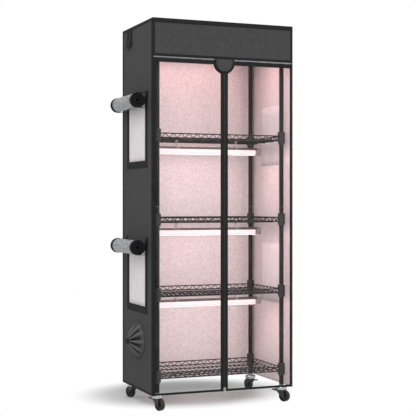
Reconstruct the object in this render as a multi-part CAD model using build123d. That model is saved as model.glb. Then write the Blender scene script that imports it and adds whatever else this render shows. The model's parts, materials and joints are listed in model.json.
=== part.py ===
from build123d import *
import os
from math import asin, atan2, cos, degrees, hypot, pi, radians, sin, tan

# Indoor greenhouse: a wire-shelf rack on casters, with light bars, inside a zipped fabric cover.
# Millimetres. +Z is up, the floor is Z = 0, the rack is centred on X = Y = 0 and its front faces -Y.

# Cover
COVER_WIDTH = 630
COVER_DEPTH = 400
COVER_TOP = 1600
HEM_HEIGHT = 65
FABRIC = 1.0
BINDING = 0.8
BINDING_WIDTH = 8
ROOF_FRONT_BINDING = 12
DOOR_POST_BINDING = 3.5
VALANCE_HEIGHT = 152
TOP_ZIP_HEIGHT = 8.7
TOP_ZIP_COIL = 5
COIL_RISE = 1.0

# Windows, their flaps and rolls
WINDOW_WIDTH = 212
WINDOW_HEIGHT = 244
WINDOW_Y = 2
UPPER_WINDOW_SILL = 1024
LOWER_WINDOW_SILL = 420
WINDOW_BORDER = 30
WINDOW_CORNER = 10
MESH = 0.6
MESH_LAP = 8
FLAP = 1.4
FLAP_WIDTH = 284
FLAP_LENGTH = 300
FLAP_HEM = 10
ROLL_RADIUS = 29.5
ROLL_OUT = 42
ROLL_BEND = 1.5
ROLL_PITCH = 12.8
ROLL_HALF_TURNS = 2
STRAP = 1.2
STRAP_START = 2.3
STRAP_WIDTH = 12
SEAM_BEAD = 2.4

# Duct port and cable port in the left wall
DUCT_Y = -22
DUCT_Z = 272
DUCT_HOLE = 120
DUCT_DIAMETER = 140
DUCT_FLANGE = 8
DUCT_REACH = 52
DUCT_SHOULDER = 22
DUCT_NECK = 26
DUCT_FOLDS = 12
DUCT_FOLD_DEPTH = 8
DUCT_WALL = 2
CABLE_Y = 98
CABLE_HOLE_WIDTH = 40
CABLE_HOLE_HEIGHT = 26
CABLE_HOLE_DROP = 36
CABLE_FLAP_WIDTH = 60
CABLE_FLAP_LENGTH = 74
CABLE_FLAP_TILT = 4

# Door leaves and zip
FILM = 0.5
LEAF_FRAME = 2.4
LEAF_JAMB = 7
LEAF_TOP_BAND = 16
LEAF_BOTTOM_BAND = 9
ZIP_TAPE = 16
ZIP_COIL = 3.2
LEAF_GAP = 0.4
LEAF_LIFT = 1.0
LEAF_CORNER = 6
TAB_WIDTH = 88
TAB_LENGTH = 59
TAB = 1.2
TAB_CLEARANCE = 1.0
SLIDER_WIDTH = 11
SLIDER_HEIGHT = 15
SLIDER_CORNER = 2.75
SLIDER_PLATE = 1.6
SLIDER_LIP = 1.2
PULL_LENGTH = 26
PULL_WIDTH = 7
PULL_CORNER = 2.3
PULL = 1.4
PULL_PIN = 1.4
PULL_PIVOT = 9
PULL_KNUCKLE = 3.4

# Posts
POST_DIAMETER = 19
POST_WALL = 1.2
POST_INSET_X = 33.5
POST_INSET_Y = 39
POST_BOTTOM = 72
CAP_HEIGHT = 3
CAP_DIAMETER = 21
PLUG_LENGTH = 30
POST_JOINT_RISE = 64
SPIGOT_RING = 1.0
GROOVE_WIDTH = 2.0
GROOVE_DEPTH = 0.8

# Wire shelves, measured at the lower rail rod
BOTTOM_SHELF = 128
LOWER_BAY = 336
MIDDLE_BAY = 306
UPPER_BAY = 348
TOP_SHELF_DROP = 46
ROD = 4.6
WIRE = 3.0
RAIL_RISE = 17.5
TRUSS_PITCH = 35
DECK_PITCH = 21
SUPPORT_SPACING = 82
COLLAR_DIAMETER = 31
COLLAR_ABOVE = 34.5
COLLAR_BELOW = 9.5
SLEEVE_TOP_WALL = 2.4
SLEEVE_BOTTOM_WALL = 3.2
SLEEVE_SKIRT = 9.5
SLEEVE_SPLIT_ANGLE = 4
RIB_LEVEL = 8
RIB_HEIGHT = 1.6
RIB_DEPTH = 0.5

# Light bars
LIGHT_LENGTH = 510
LIGHT_DROP = 27.5
END_CAP_LENGTH = 18
HOUSING_WIDTH = 24
HOUSING_HEIGHT = 10
HOUSING_WALL = 1.4
HOUSING_SHOULDER = 2.5
CLIP_GROOVE_DROP = 7.2
CLIP_GROOVE_HEIGHT = 1.5
CLIP_GROOVE_DEPTH = 0.7
DIFFUSER_HEIGHT = 22.5
DIFFUSER_ROUND = 11
DIFFUSER_WALL = 1.2
BOARD_WIDTH = 16
BOARD = 1.6
INLET_WIDTH = 13
INLET_HEIGHT = 8
INLET_DROP = 17.5
INLET_DEPTH = 9
INLET_PIN = 2
INLET_PIN_SPACING = 6
CLIP = 1.2
CLIP_WIDTH = 12
CLIP_BAY = 5
HOOK_LIP = 3.5

# Casters
WHEEL_DIAMETER = 48
WHEEL_WIDTH = 19
WHEEL_RIM = 6
WHEEL_WEB = 10
TREAD_ROUND = 3
HUB_DIAMETER = 16
TRAIL = 16
AXLE_DIAMETER = 6
AXLE_HEAD_DIAMETER = 10
AXLE_HEAD = 2.5
AXLE_BOSS = 17
FORK_LEG = 2
HUB_PLAY = 0.3
LEG_GAP = 1.2
DOME_DIAMETER = 47
DOME_BOTTOM = 51
DOME_TOP = 67
DOME_WALL = 2
DOME_CROWN = 28
DOME_BOSS = 18
DOME_BOSS_LIFT = 6
CROWN_WIDTH = 27
CROWN_SHIFT = 1
STEM_DIAMETER = 10
KINGPIN_DIAMETER = 9
RIVET_DIAMETER = 14
RIVET_HEIGHT = 2
SHOULDER_DIAMETER = 18
INSERT_FLANGE = 2
BRAKE_X = -9
BRAKE_Z = 44
BRAKE_HUB = 8.4
BRAKE_PIN = 4
BRAKE_BOSS = 9
BRAKE_REACH = 29
BRAKE_LIFT = 3.5
BRAKE_ARM_WIDTH = 18
BRAKE_PAD_WIDTH = 24
BRAKE_PAD_LENGTH = 12
BRAKE_PAD = 4
SHOE_REACH = 8.5
SHOE_ANGLE = -100
SHOE_DIAMETER = 4.4
SHOE_WIDTH = 16
CASTER_TURNS = {"front_left": -70, "front_right": -60, "rear_left": 110, "rear_right": 100}

# Clearances
FIT = 0.15
SEAT_GAP = 0.3
RUNNING = 0.05
WELD_GAP = 0.05
WELD_DEPTH = 0.6
SEAM_GAP = 0.4

# Places worked out from the sizes above
SIDE = COVER_WIDTH / 2
FACE = COVER_DEPTH / 2
POST_X = SIDE - POST_INSET_X
POST_Y = FACE - POST_INSET_Y
POST_R = POST_DIAMETER / 2
BORE_R = POST_R - POST_WALL
POST_TOP = COVER_TOP - FABRIC - CAP_HEIGHT
POST_PLACES = {
    "front_left": (-POST_X, -POST_Y),
    "front_right": (POST_X, -POST_Y),
    "rear_left": (-POST_X, POST_Y),
    "rear_right": (POST_X, POST_Y),
}
SHELF_LEVELS = [
    BOTTOM_SHELF,
    BOTTOM_SHELF + LOWER_BAY,
    BOTTOM_SHELF + LOWER_BAY + MIDDLE_BAY,
    BOTTOM_SHELF + LOWER_BAY + MIDDLE_BAY + UPPER_BAY,
    POST_TOP - TOP_SHELF_DROP,
]
POST_JOINT = SHELF_LEVELS[2] + POST_JOINT_RISE
COLLAR_R = COLLAR_DIAMETER / 2
SUPPORT_Z = WELD_DEPTH - (ROD + WIRE) / 2
DECK_SPAN = 2 * POST_X - COLLAR_DIAMETER
DECK_COUNT = round(DECK_SPAN / DECK_PITCH)
DECK_STEP = DECK_SPAN / DECK_COUNT
DECK_X = [(i + 0.5) * DECK_STEP - DECK_SPAN / 2 for i in range(DECK_COUNT)]
CLIP_X = (DECK_X[CLIP_BAY] + DECK_X[CLIP_BAY + 1]) / 2
WHEEL_R = WHEEL_DIAMETER / 2
HUB_HALF = WHEEL_WIDTH / 2 + LEG_GAP - HUB_PLAY
LEG_INNER = WHEEL_WIDTH / 2 + LEG_GAP
LEG_OUTER = LEG_INNER + FORK_LEG
VALANCE_BOTTOM = COVER_TOP - FABRIC - VALANCE_HEIGHT
LEAF_TOP = VALANCE_BOTTOM - TOP_ZIP_HEIGHT - SEAT_GAP
LEAF_BOTTOM = HEM_HEIGHT + LEAF_LIFT
LEAF_FRONT = -FACE - BINDING
LEAF_BACK = LEAF_FRONT + LEAF_FRAME
HINGE_X = SIDE - DOOR_POST_BINDING - SEAM_GAP - LEAF_FRAME / 2
HINGE_Y = LEAF_FRONT + LEAF_FRAME / 2
COIL_FRONT = LEAF_FRONT - COIL_RISE
TAB_Y = LEAF_FRONT - SEAT_GAP - SEAM_BEAD / 2
TAB_Z = VALANCE_BOTTOM - SEAM_BEAD / 2
SLIDER_FRONT = COIL_FRONT - SEAT_GAP - SLIDER_PLATE
PIVOT_Y = SLIDER_FRONT - PULL_PIN - SEAT_GAP
PIVOT_Z = LEAF_BOTTOM + PULL_PIVOT
SILLS = {"upper": UPPER_WINDOW_SILL, "lower": LOWER_WINDOW_SILL}


def block(x0, x1, y0, y1, z0, z1):
    """A box between two corners."""
    return Pos((x0 + x1) / 2, (y0 + y1) / 2, (z0 + z1) / 2) * Box(x1 - x0, y1 - y0, z1 - z0)


def rod_x(diameter, length):
    return Rot(0, 90, 0) * Cylinder(diameter / 2, length)


def rod_y(diameter, length):
    return Rot(90, 0, 0) * Cylinder(diameter / 2, length)


def rod_z(diameter, z0, z1):
    return Pos(0, 0, (z0 + z1) / 2) * Cylinder(diameter / 2, z1 - z0)


def turned(*points):
    """A solid of revolution about Z from (radius, z) points."""
    return revolve(Plane.XZ * Polygon(*points), Axis.Z)


def hull(*sketches):
    return make_hull([edge for sketch in sketches for edge in sketch.edges()])


def save(name, *solids):
    shape = solids[0] if len(solids) == 1 else Compound(children=list(solids))
    export_step(shape, f"parts/{name}.step")


def post_tube(bottom, top):
    """One tube of a post, with a locking groove at each shelf that it carries."""
    tube = rod_z(POST_DIAMETER, bottom, top) - rod_z(2 * BORE_R, bottom, top)
    for level in SHELF_LEVELS:
        groove = level + RIB_LEVEL
        if bottom < groove < top:
            ring = Cylinder(POST_DIAMETER, GROOVE_WIDTH) - Cylinder(POST_R - GROOVE_DEPTH, GROOVE_WIDTH)
            tube -= Pos(0, 0, groove) * ring
    return tube


def make_posts():
    """Posts of two tubes each, the inserts inside them and the caps under the roof."""
    lower = post_tube(POST_BOTTOM, POST_JOINT - SPIGOT_RING / 2)
    upper = post_tube(POST_JOINT + SPIGOT_RING / 2, POST_TOP)
    plug = 2 * (BORE_R - FIT)
    spigot = rod_z(plug, POST_JOINT - PLUG_LENGTH, POST_JOINT + PLUG_LENGTH)
    spigot += rod_z(POST_DIAMETER, POST_JOINT - SPIGOT_RING / 2, POST_JOINT + SPIGOT_RING / 2)
    foot = rod_z(plug, POST_BOTTOM, POST_BOTTOM + PLUG_LENGTH)
    foot += rod_z(POST_DIAMETER, POST_BOTTOM - INSERT_FLANGE, POST_BOTTOM)
    foot -= rod_z(STEM_DIAMETER + 2 * FIT, POST_BOTTOM - INSERT_FLANGE, POST_BOTTOM + PLUG_LENGTH)
    cap = rod_z(CAP_DIAMETER, POST_TOP, POST_TOP + CAP_HEIGHT)
    cap += rod_z(plug, POST_TOP - PLUG_LENGTH / 2, POST_TOP)
    inserts = []
    caps = []
    for corner, (x, y) in POST_PLACES.items():
        place = Pos(x, y, 0)
        save(f"post_{corner}", place * lower, place * upper)
        inserts += [place * spigot, place * foot]
        caps.append(place * cap)
    save("post_inserts", *inserts)
    save("post_caps", *caps)


def make_truss(spacing):
    """One side of a shelf along X: two rail rods with a zigzag wire between, cut to the corner collars."""
    clear = spacing - COLLAR_DIAMETER - ROD
    waves = round(clear / TRUSS_PITCH)
    step = clear / (2 * waves)
    points = [(i * step - clear / 2, 0, RAIL_RISE * (i % 2)) for i in range(2 * waves + 1)]
    path = Polyline(*points)
    start = Plane(origin=path @ 0, z_dir=path % 0)
    zigzag = sweep(start * Circle(WIRE / 2), path=path, transition=Transition.RIGHT)
    truss = zigzag + [Pos(0, 0, level) * rod_x(ROD, spacing) for level in (0, RAIL_RISE)]
    for end in (-spacing / 2, spacing / 2):
        truss -= Pos(end, 0, RAIL_RISE / 2) * Cylinder(COLLAR_R + WELD_GAP, RAIL_RISE + 2 * ROD)
    return truss


def make_mat():
    """The deck: wires from front to back, welded on three longer support rods."""
    wire_length = 2 * POST_Y - ROD - 2 * WELD_GAP
    rod_length = 2 * POST_X - ROD - 2 * WELD_GAP
    wires = [Pos(x, 0, 0) * rod_y(WIRE, wire_length) for x in DECK_X]
    supports = [Pos(0, i * SUPPORT_SPACING, SUPPORT_Z) * rod_x(ROD, rod_length) for i in (-1, 0, 1)]
    return Part() + wires + supports


def make_collar():
    bottom = POST_R + SLEEVE_BOTTOM_WALL + 2 * FIT
    top = POST_R + SLEEVE_TOP_WALL + 2 * FIT
    return turned(
        (bottom, -COLLAR_BELOW), (COLLAR_R, -COLLAR_BELOW), (COLLAR_R, COLLAR_ABOVE), (top, COLLAR_ABOVE)
    )


def make_sleeve_half():
    """Half of the tapered sleeve that wedges a collar on its post, with the rib that sits in the groove."""
    inner = POST_R + FIT
    rib = inner - RIB_DEPTH
    foot = -COLLAR_BELOW - SLEEVE_SKIRT
    shoulder = -COLLAR_BELOW - FIT
    profile = Polygon(
        (inner, foot),
        (inner + SLEEVE_TOP_WALL / 2, foot),
        (COLLAR_R - WELD_DEPTH, shoulder),
        (inner + SLEEVE_BOTTOM_WALL, shoulder),
        (inner + SLEEVE_TOP_WALL, COLLAR_ABOVE),
        (inner, COLLAR_ABOVE),
        (inner, RIB_LEVEL + RIB_HEIGHT / 2),
        (rib, RIB_LEVEL + RIB_HEIGHT / 2),
        (rib, RIB_LEVEL - RIB_HEIGHT / 2),
        (inner, RIB_LEVEL - RIB_HEIGHT / 2),
    )
    return revolve(Plane.XZ * profile, Axis.Z, revolution_arc=180 - SLEEVE_SPLIT_ANGLE)


def make_shelves():
    """Five alike wire shelves, and the split sleeves that hold them on the posts."""
    long_truss = make_truss(2 * POST_X)
    short_truss = Rot(0, 0, 90) * make_truss(2 * POST_Y)
    collar = make_collar()
    half = make_sleeve_half()
    pieces = [make_mat()]
    for side in (-1, 1):
        pieces.append(Pos(0, side * POST_Y, 0) * long_truss)
        pieces.append(Pos(side * POST_X, 0, 0) * short_truss)
    sleeves = []
    for x, y in POST_PLACES.values():
        pieces.append(Pos(x, y, 0) * collar)
        sleeves.append(Pos(x, y, 0) * half)
        sleeves.append(Pos(x, y, 0) * Rot(0, 0, 180) * half)
    all_sleeves = []
    for number, level in enumerate(SHELF_LEVELS, 1):
        lift = Pos(0, 0, level)
        save(f"wire_shelf_{number}", *[lift * piece for piece in pieces])
        all_sleeves += [lift * sleeve for sleeve in sleeves]
    save("shelf_sleeves", *all_sleeves)


def housing_outline(grow):
    """The channel's outline across the bar, from its top at z = 0, grown outwards by a wall or a gap."""
    half = HOUSING_WIDTH / 2 + grow
    slope = HOUSING_SHOULDER
    return Polygon(
        (-half, -HOUSING_HEIGHT),
        (half, -HOUSING_HEIGHT),
        (half, grow - slope),
        (half - slope, grow),
        (slope - half, grow),
        (-half, grow - slope),
    )


def diffuser_outline(inset):
    """The diffuser's outline below the channel: straight sides and a rounded bottom."""
    width = HOUSING_WIDTH - 2 * inset
    height = DIFFUSER_HEIGHT - inset
    box = Pos(0, -HOUSING_HEIGHT - height / 2) * Rectangle(width, height)
    return fillet(box.vertices().group_by(Axis.Y)[0], DIFFUSER_ROUND - inset)


def bar(sketch, length):
    """A section across the bar, drawn out along X about the middle."""
    return extrude(Plane.YZ * sketch, length / 2, both=True)


def make_clip():
    """Spring clip: snaps into the housing's grooves and hooks over the middle support rod of a shelf."""
    half = HOUSING_WIDTH / 2
    drop = CLIP_GROOVE_DROP + CLIP_GROOVE_HEIGHT - FIT
    groove_top = -CLIP_GROOVE_DROP - FIT
    below = Pos(0, -drop - HOUSING_HEIGHT / 2) * Rectangle(2 * HOUSING_WIDTH, HOUSING_HEIGHT)
    clip = housing_outline(FIT + CLIP) - housing_outline(FIT) - below
    lip_inner = half - CLIP_GROOVE_DEPTH + FIT
    lip_outer = half + FIT + CLIP
    lip = Rectangle(lip_outer - lip_inner, drop + groove_top, align=(Align.MIN, Align.MIN))
    clip += Pos(lip_inner, -drop) * lip
    clip += Pos(-lip_outer, -drop) * lip
    rod_height = LIGHT_DROP + SUPPORT_Z
    inner = ROD / 2 + FIT
    outer = inner + CLIP
    hook = Circle(outer) - Circle(inner)
    hook -= Pos(0, -outer) * Rectangle(2 * outer, 2 * outer)
    clip += Pos(0, rod_height) * hook
    tongue = Rectangle(CLIP, rod_height - FIT, align=(Align.MIN, Align.MIN))
    clip += Pos(inner, FIT) * tongue
    clip += Pos(-outer, rod_height - HOOK_LIP) * Rectangle(CLIP, HOOK_LIP, align=(Align.MIN, Align.MIN))
    return bar(clip, CLIP_WIDTH)


def make_end_cap():
    """A solid end cap with the bar's full section, reaching out along -X from its inner face at x = 0."""
    section = housing_outline(0) + diffuser_outline(0)
    return Pos(-END_CAP_LENGTH / 2, 0, 0) * bar(section, END_CAP_LENGTH)


def cut_inlet(cap):
    """The same cap with a recessed two-pin inlet in its outer end."""
    mouth = Pos(-END_CAP_LENGTH, 0, -INLET_DROP)
    cap -= mouth * Box(2 * INLET_DEPTH, INLET_WIDTH, INLET_HEIGHT)
    for side in (-0.5, 0.5):
        pin = Pos(INLET_DEPTH / 2, side * INLET_PIN_SPACING, 0) * rod_x(INLET_PIN, INLET_DEPTH)
        cap += mouth * pin
    return cap


def make_lights():
    """Four light bars, each hung under a shelf by two clips."""
    body_length = LIGHT_LENGTH - 2 * END_CAP_LENGTH
    channel = housing_outline(0) - Pos(0, -HOUSING_WALL) * housing_outline(-HOUSING_WALL)
    channel -= Pos(0, -HOUSING_HEIGHT) * Rectangle(HOUSING_WIDTH - 2 * HOUSING_WALL, 2 * HOUSING_WALL)
    groove_z = -CLIP_GROOVE_DROP - CLIP_GROOVE_HEIGHT / 2
    for side in (-0.5, 0.5):
        channel -= Pos(side * HOUSING_WIDTH, groove_z) * Rectangle(2 * CLIP_GROOVE_DEPTH, CLIP_GROOVE_HEIGHT)
    housing = bar(channel, body_length)
    lip = Pos(0, -HOUSING_HEIGHT) * Rectangle(HOUSING_WIDTH - 2 * DIFFUSER_WALL, 2 * DIFFUSER_WALL)
    diffuser = bar(diffuser_outline(0) - diffuser_outline(DIFFUSER_WALL) - lip, body_length)
    web = -2 * HOUSING_WALL
    board = Pos(0, 0, web - BOARD / 2) * Box(body_length, BOARD_WIDTH, BOARD)
    left_cap = make_end_cap()
    right_cap = mirror(left_cap, about=Plane.YZ)
    left_cap = cut_inlet(left_cap)
    clip = make_clip()
    caps = []
    clips = []
    boards = []
    for number, level in enumerate(SHELF_LEVELS[1:], 1):
        place = Pos(0, 0, level - LIGHT_DROP)
        save(f"light_{number}_housing", place * housing)
        save(f"light_{number}_diffuser", place * diffuser)
        caps.append(place * Pos(-body_length / 2, 0, 0) * left_cap)
        caps.append(place * Pos(body_length / 2, 0, 0) * right_cap)
        clips += [place * Pos(x, 0, 0) * clip for x in (CLIP_X, -CLIP_X)]
        boards.append(place * board)
    save("light_end_caps", *caps)
    save("light_clips", *clips)
    save("led_boards", *boards)


def make_stem():
    """Threaded stem with its shoulder, and the kingpin that the fork turns on, riveted over below."""
    shoulder_top = POST_BOTTOM - INSERT_FLANGE
    shoulder_bottom = DOME_TOP + SEAT_GAP
    rivet_top = DOME_BOTTOM + DOME_BOSS_LIFT - SEAT_GAP
    stem = rod_z(STEM_DIAMETER, shoulder_top, POST_BOTTOM + PLUG_LENGTH)
    stem += rod_z(SHOULDER_DIAMETER, shoulder_bottom, shoulder_top)
    stem += rod_z(KINGPIN_DIAMETER, rivet_top, shoulder_bottom)
    stem += rod_z(RIVET_DIAMETER, rivet_top - RIVET_HEIGHT, rivet_top)
    return stem


def make_fork():
    """Fork: a domed crown round the kingpin and two legs that carry the axle and the brake lever."""
    bore = KINGPIN_DIAMETER / 2 + RUNNING
    skirt = DOME_DIAMETER / 2
    crown = DOME_CROWN / 2
    shoulder = DOME_TOP - DOME_WALL
    boss_bottom = DOME_BOTTOM + DOME_BOSS_LIFT
    fork = turned(
        (bore, DOME_TOP),
        (crown, DOME_TOP),
        (skirt - DOME_WALL, shoulder),
        (skirt, shoulder - 2 * DOME_WALL),
        (skirt, DOME_BOTTOM),
        (skirt - DOME_WALL, DOME_BOTTOM),
        (skirt - DOME_WALL, shoulder - 2 * DOME_WALL),
        (skirt - 2 * DOME_WALL, shoulder - DOME_WALL),
        (crown, shoulder - DOME_WALL / 2),
        (DOME_BOSS / 2, shoulder - DOME_WALL / 2),
        (DOME_BOSS / 2, boss_bottom),
        (bore, boss_bottom),
    )
    root_height = shoulder - DOME_WALL / 2 - DOME_BOTTOM
    root = Pos(CROWN_SHIFT, DOME_BOTTOM + root_height / 2) * Rectangle(CROWN_WIDTH, root_height)
    axle_boss = Pos(TRAIL, WHEEL_R) * Circle(AXLE_BOSS / 2)
    brake_boss = Pos(BRAKE_X, BRAKE_Z) * Circle(BRAKE_BOSS / 2)
    leg = extrude(Plane.XZ * hull(root, axle_boss, brake_boss), FORK_LEG)
    fork += Pos(0, -LEG_INNER, 0) * leg
    fork += Pos(0, LEG_OUTER, 0) * leg
    fork -= Pos(TRAIL, 0, WHEEL_R) * rod_y(AXLE_DIAMETER + 2 * RUNNING, 3 * LEG_OUTER)
    fork -= Pos(BRAKE_X, 0, BRAKE_Z) * rod_y(BRAKE_PIN + 2 * RUNNING, 3 * LEG_OUTER)
    return fork


def make_axle():
    axle = rod_y(AXLE_DIAMETER, 2 * LEG_OUTER)
    for side in (-1, 1):
        axle += Pos(0, side * (LEG_OUTER + AXLE_HEAD / 2), 0) * rod_y(AXLE_HEAD_DIAMETER, AXLE_HEAD)
    return Pos(TRAIL, 0, WHEEL_R) * axle


def make_wheel():
    """Wheel with a long hub, a thinner web and a rim with a rounded tread."""
    bore = AXLE_DIAMETER / 2 + RUNNING
    hub = HUB_DIAMETER / 2
    rim = WHEEL_R - WHEEL_RIM
    web = WHEEL_WEB / 2
    width = WHEEL_WIDTH / 2
    profile = Polygon(
        (bore, -HUB_HALF),
        (hub, -HUB_HALF),
        (hub, -web),
        (rim, -web),
        (rim, -width),
        (WHEEL_R, -width),
        (WHEEL_R, width),
        (rim, width),
        (rim, web),
        (hub, web),
        (hub, HUB_HALF),
        (bore, HUB_HALF),
    )
    profile = fillet(profile.vertices().group_by(Axis.X)[-1], TREAD_ROUND)
    return Pos(TRAIL, 0, WHEEL_R) * Rot(90, 0, 0) * revolve(Plane.XZ * profile, Axis.Z)


def make_brake():
    """Brake lever: a pedal on the leading side and a shoe that tips towards the tread."""
    hub = Circle(BRAKE_HUB / 2)
    tip = Pos(-BRAKE_REACH, BRAKE_LIFT) * Circle(BRAKE_PAD / 2)
    shoe_x = SHOE_REACH * cos(radians(SHOE_ANGLE))
    shoe_z = SHOE_REACH * sin(radians(SHOE_ANGLE))
    shoe = Pos(shoe_x, shoe_z) * Circle(SHOE_DIAMETER / 2)
    lever = rod_y(BRAKE_HUB, 2 * (LEG_INNER - SEAT_GAP))
    lever += rod_y(BRAKE_PIN, 2 * LEG_OUTER)
    lever += extrude(Plane.XZ * hull(hub, tip), BRAKE_ARM_WIDTH / 2, both=True)
    lever += extrude(Plane.XZ * hull(hub, shoe), SHOE_WIDTH / 2, both=True)
    pad = Box(BRAKE_PAD_LENGTH, BRAKE_PAD_WIDTH, BRAKE_PAD)
    pad = fillet(pad.edges().filter_by(Axis.Z), BRAKE_PAD)
    lever += Pos(-BRAKE_REACH, 0, BRAKE_LIFT) * pad
    return Pos(BRAKE_X, 0, BRAKE_Z) * lever


def make_casters():
    stem = make_stem()
    fork = make_fork()
    axle = make_axle()
    wheel = make_wheel()
    brake = make_brake()
    stems = []
    for corner, (x, y) in POST_PLACES.items():
        stems.append(Pos(x, y, 0) * stem)
        place = Pos(x, y, 0) * Rot(0, 0, CASTER_TURNS[corner])
        save(f"caster_{corner}_fork", place * fork, place * axle)
        save(f"caster_{corner}_wheel", place * wheel)
        save(f"caster_{corner}_brake", place * brake)
    save("caster_stems", *stems)


def rounded_opening(width, height, corner, centre_y, bottom):
    """A rounded rectangle in a side wall, drawn in the YZ plane."""
    return Plane.YZ * Pos(centre_y, bottom + height / 2) * RectangleRounded(width, height, corner)


def make_side_wall(side):
    """Left (-1) or right (1) wall with its two window openings."""
    outer = side * SIDE
    inner = side * (SIDE - FABRIC)
    wall = block(min(outer, inner), max(outer, inner), -FACE, FACE, HEM_HEIGHT, COVER_TOP - FABRIC)
    for sill in SILLS.values():
        hole = rounded_opening(WINDOW_WIDTH, WINDOW_HEIGHT, WINDOW_CORNER, WINDOW_Y, sill)
        wall -= Pos(outer, 0, 0) * extrude(hole, 2 * FABRIC, both=True)
    return wall


def make_cover():
    """Fabric panels of the cover, the binding along their edges, and the top zip under the valance."""
    top = COVER_TOP - FABRIC
    duct_hole = Pos(-SIDE, DUCT_Y, DUCT_Z) * rod_x(DUCT_HOLE, 4 * FABRIC)
    cable_z = top - BINDING_WIDTH - CABLE_HOLE_DROP
    cable_hole = Pos(-SIDE, CABLE_Y, cable_z) * Box(4 * FABRIC, CABLE_HOLE_WIDTH, CABLE_HOLE_HEIGHT)
    save("cover_roof", block(-SIDE, SIDE, -FACE, FACE, top, COVER_TOP))
    save("cover_left", make_side_wall(-1) - duct_hole - cable_hole)
    save("cover_right", make_side_wall(1))
    save("cover_back", block(FABRIC - SIDE, SIDE - FABRIC, FACE - FABRIC, FACE, HEM_HEIGHT, top))
    save("cover_valance", block(FABRIC - SIDE, SIDE - FABRIC, -FACE, FABRIC - FACE, VALANCE_BOTTOM, top))
    skin_x = SIDE + BINDING
    skin_y = FACE + BINDING
    edge = BINDING_WIDTH
    post = DOOR_POST_BINDING
    binding = block(-skin_x, skin_x, -skin_y, skin_y, HEM_HEIGHT, COVER_TOP + BINDING)
    binding -= block(-SIDE, SIDE, -FACE, FACE, HEM_HEIGHT, COVER_TOP)
    binding -= block(edge - SIDE, SIDE - edge, edge - FACE, FACE - edge, COVER_TOP, COVER_TOP + BINDING)
    upper = COVER_TOP - edge
    lower = HEM_HEIGHT + edge
    binding -= block(-skin_x, skin_x, edge - FACE, FACE - edge, lower, upper)
    binding -= block(edge - SIDE, SIDE - edge, FACE, skin_y, lower, upper)
    binding -= block(post - SIDE, SIDE - post, -skin_y, -FACE, HEM_HEIGHT, COVER_TOP - ROOF_FRONT_BINDING)
    save("cover_bindings", binding)
    zip_x = SIDE - post - SEAM_GAP
    bottom = VALANCE_BOTTOM - TOP_ZIP_HEIGHT
    top_zip = block(-zip_x, zip_x, LEAF_FRONT + COIL_RISE / 2, FABRIC - FACE, bottom, VALANCE_BOTTOM)
    coil_z = (bottom + VALANCE_BOTTOM) / 2
    top_zip += Pos(0, LEAF_FRONT + COIL_RISE / 2, coil_z) * Box(2 * zip_x, COIL_RISE, TOP_ZIP_COIL)
    save("top_zip", top_zip)


def make_roll_section():
    """Rolled flap across its length: u outwards from the wall, v up from the roll's axis.
    It hangs down behind the roll and is wound outwards, so that its lining shows."""
    bend = ROLL_RADIUS + ROLL_BEND
    slope = atan2(bend, ROLL_OUT) + asin(ROLL_RADIUS / hypot(bend, ROLL_OUT))
    crook = bend + FLAP * tan(pi / 4 - slope / 2)
    top = bend + FLAP_HEM
    arcs = []
    for turn in range(ROLL_HALF_TURNS + 1):
        radius = ROLL_RADIUS - turn * ROLL_PITCH / 2
        centre = (ROLL_OUT, (turn % 2) * ROLL_PITCH / 2)
        start = 90 if turn % 2 else 270
        lead = 0 if turn else degrees(slope)
        arcs.append(CenterArc(centre, radius, start - lead, 180 + lead))
        arcs.append(CenterArc(centre, radius - FLAP, start - lead, 180 + lead))
    edges = [Line((0, bend), (0, top)), Line((0, top), (FLAP, top)), Line((FLAP, top), (FLAP, crook))]
    edges.append(Line((0, bend), arcs[0] @ 0))
    edges.append(Line((FLAP, crook), arcs[1] @ 0))
    edges.append(Line(arcs[-2] @ 1, arcs[-1] @ 1))
    return make_face(edges + arcs)


def make_tie_section():
    """Tie strap across a roll: from the wall over the roll, round it and back to the wall below."""
    inner = ROLL_RADIUS + SEAT_GAP
    outer = inner + STRAP
    sling = Pos(ROLL_OUT, 0) * (Circle(outer) - Circle(inner))
    sling -= Pos(ROLL_OUT - outer, 0) * Rectangle(2 * outer, 2 * outer)
    upper = Rectangle(ROLL_OUT - STRAP_START, STRAP, align=(Align.MIN, Align.MIN))
    lower = Rectangle(ROLL_OUT - BINDING, STRAP, align=(Align.MIN, Align.MIN))
    return sling + Pos(STRAP_START, inner) * upper + Pos(BINDING, -outer) * lower


def make_hanging_flap(width, length, thickness):
    """A flap that hangs from the axis of its seam bead, which lies along Y."""
    return rod_y(SEAM_BEAD, width) + block(-thickness / 2, thickness / 2, -width / 2, width / 2, -length, 0)


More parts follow.
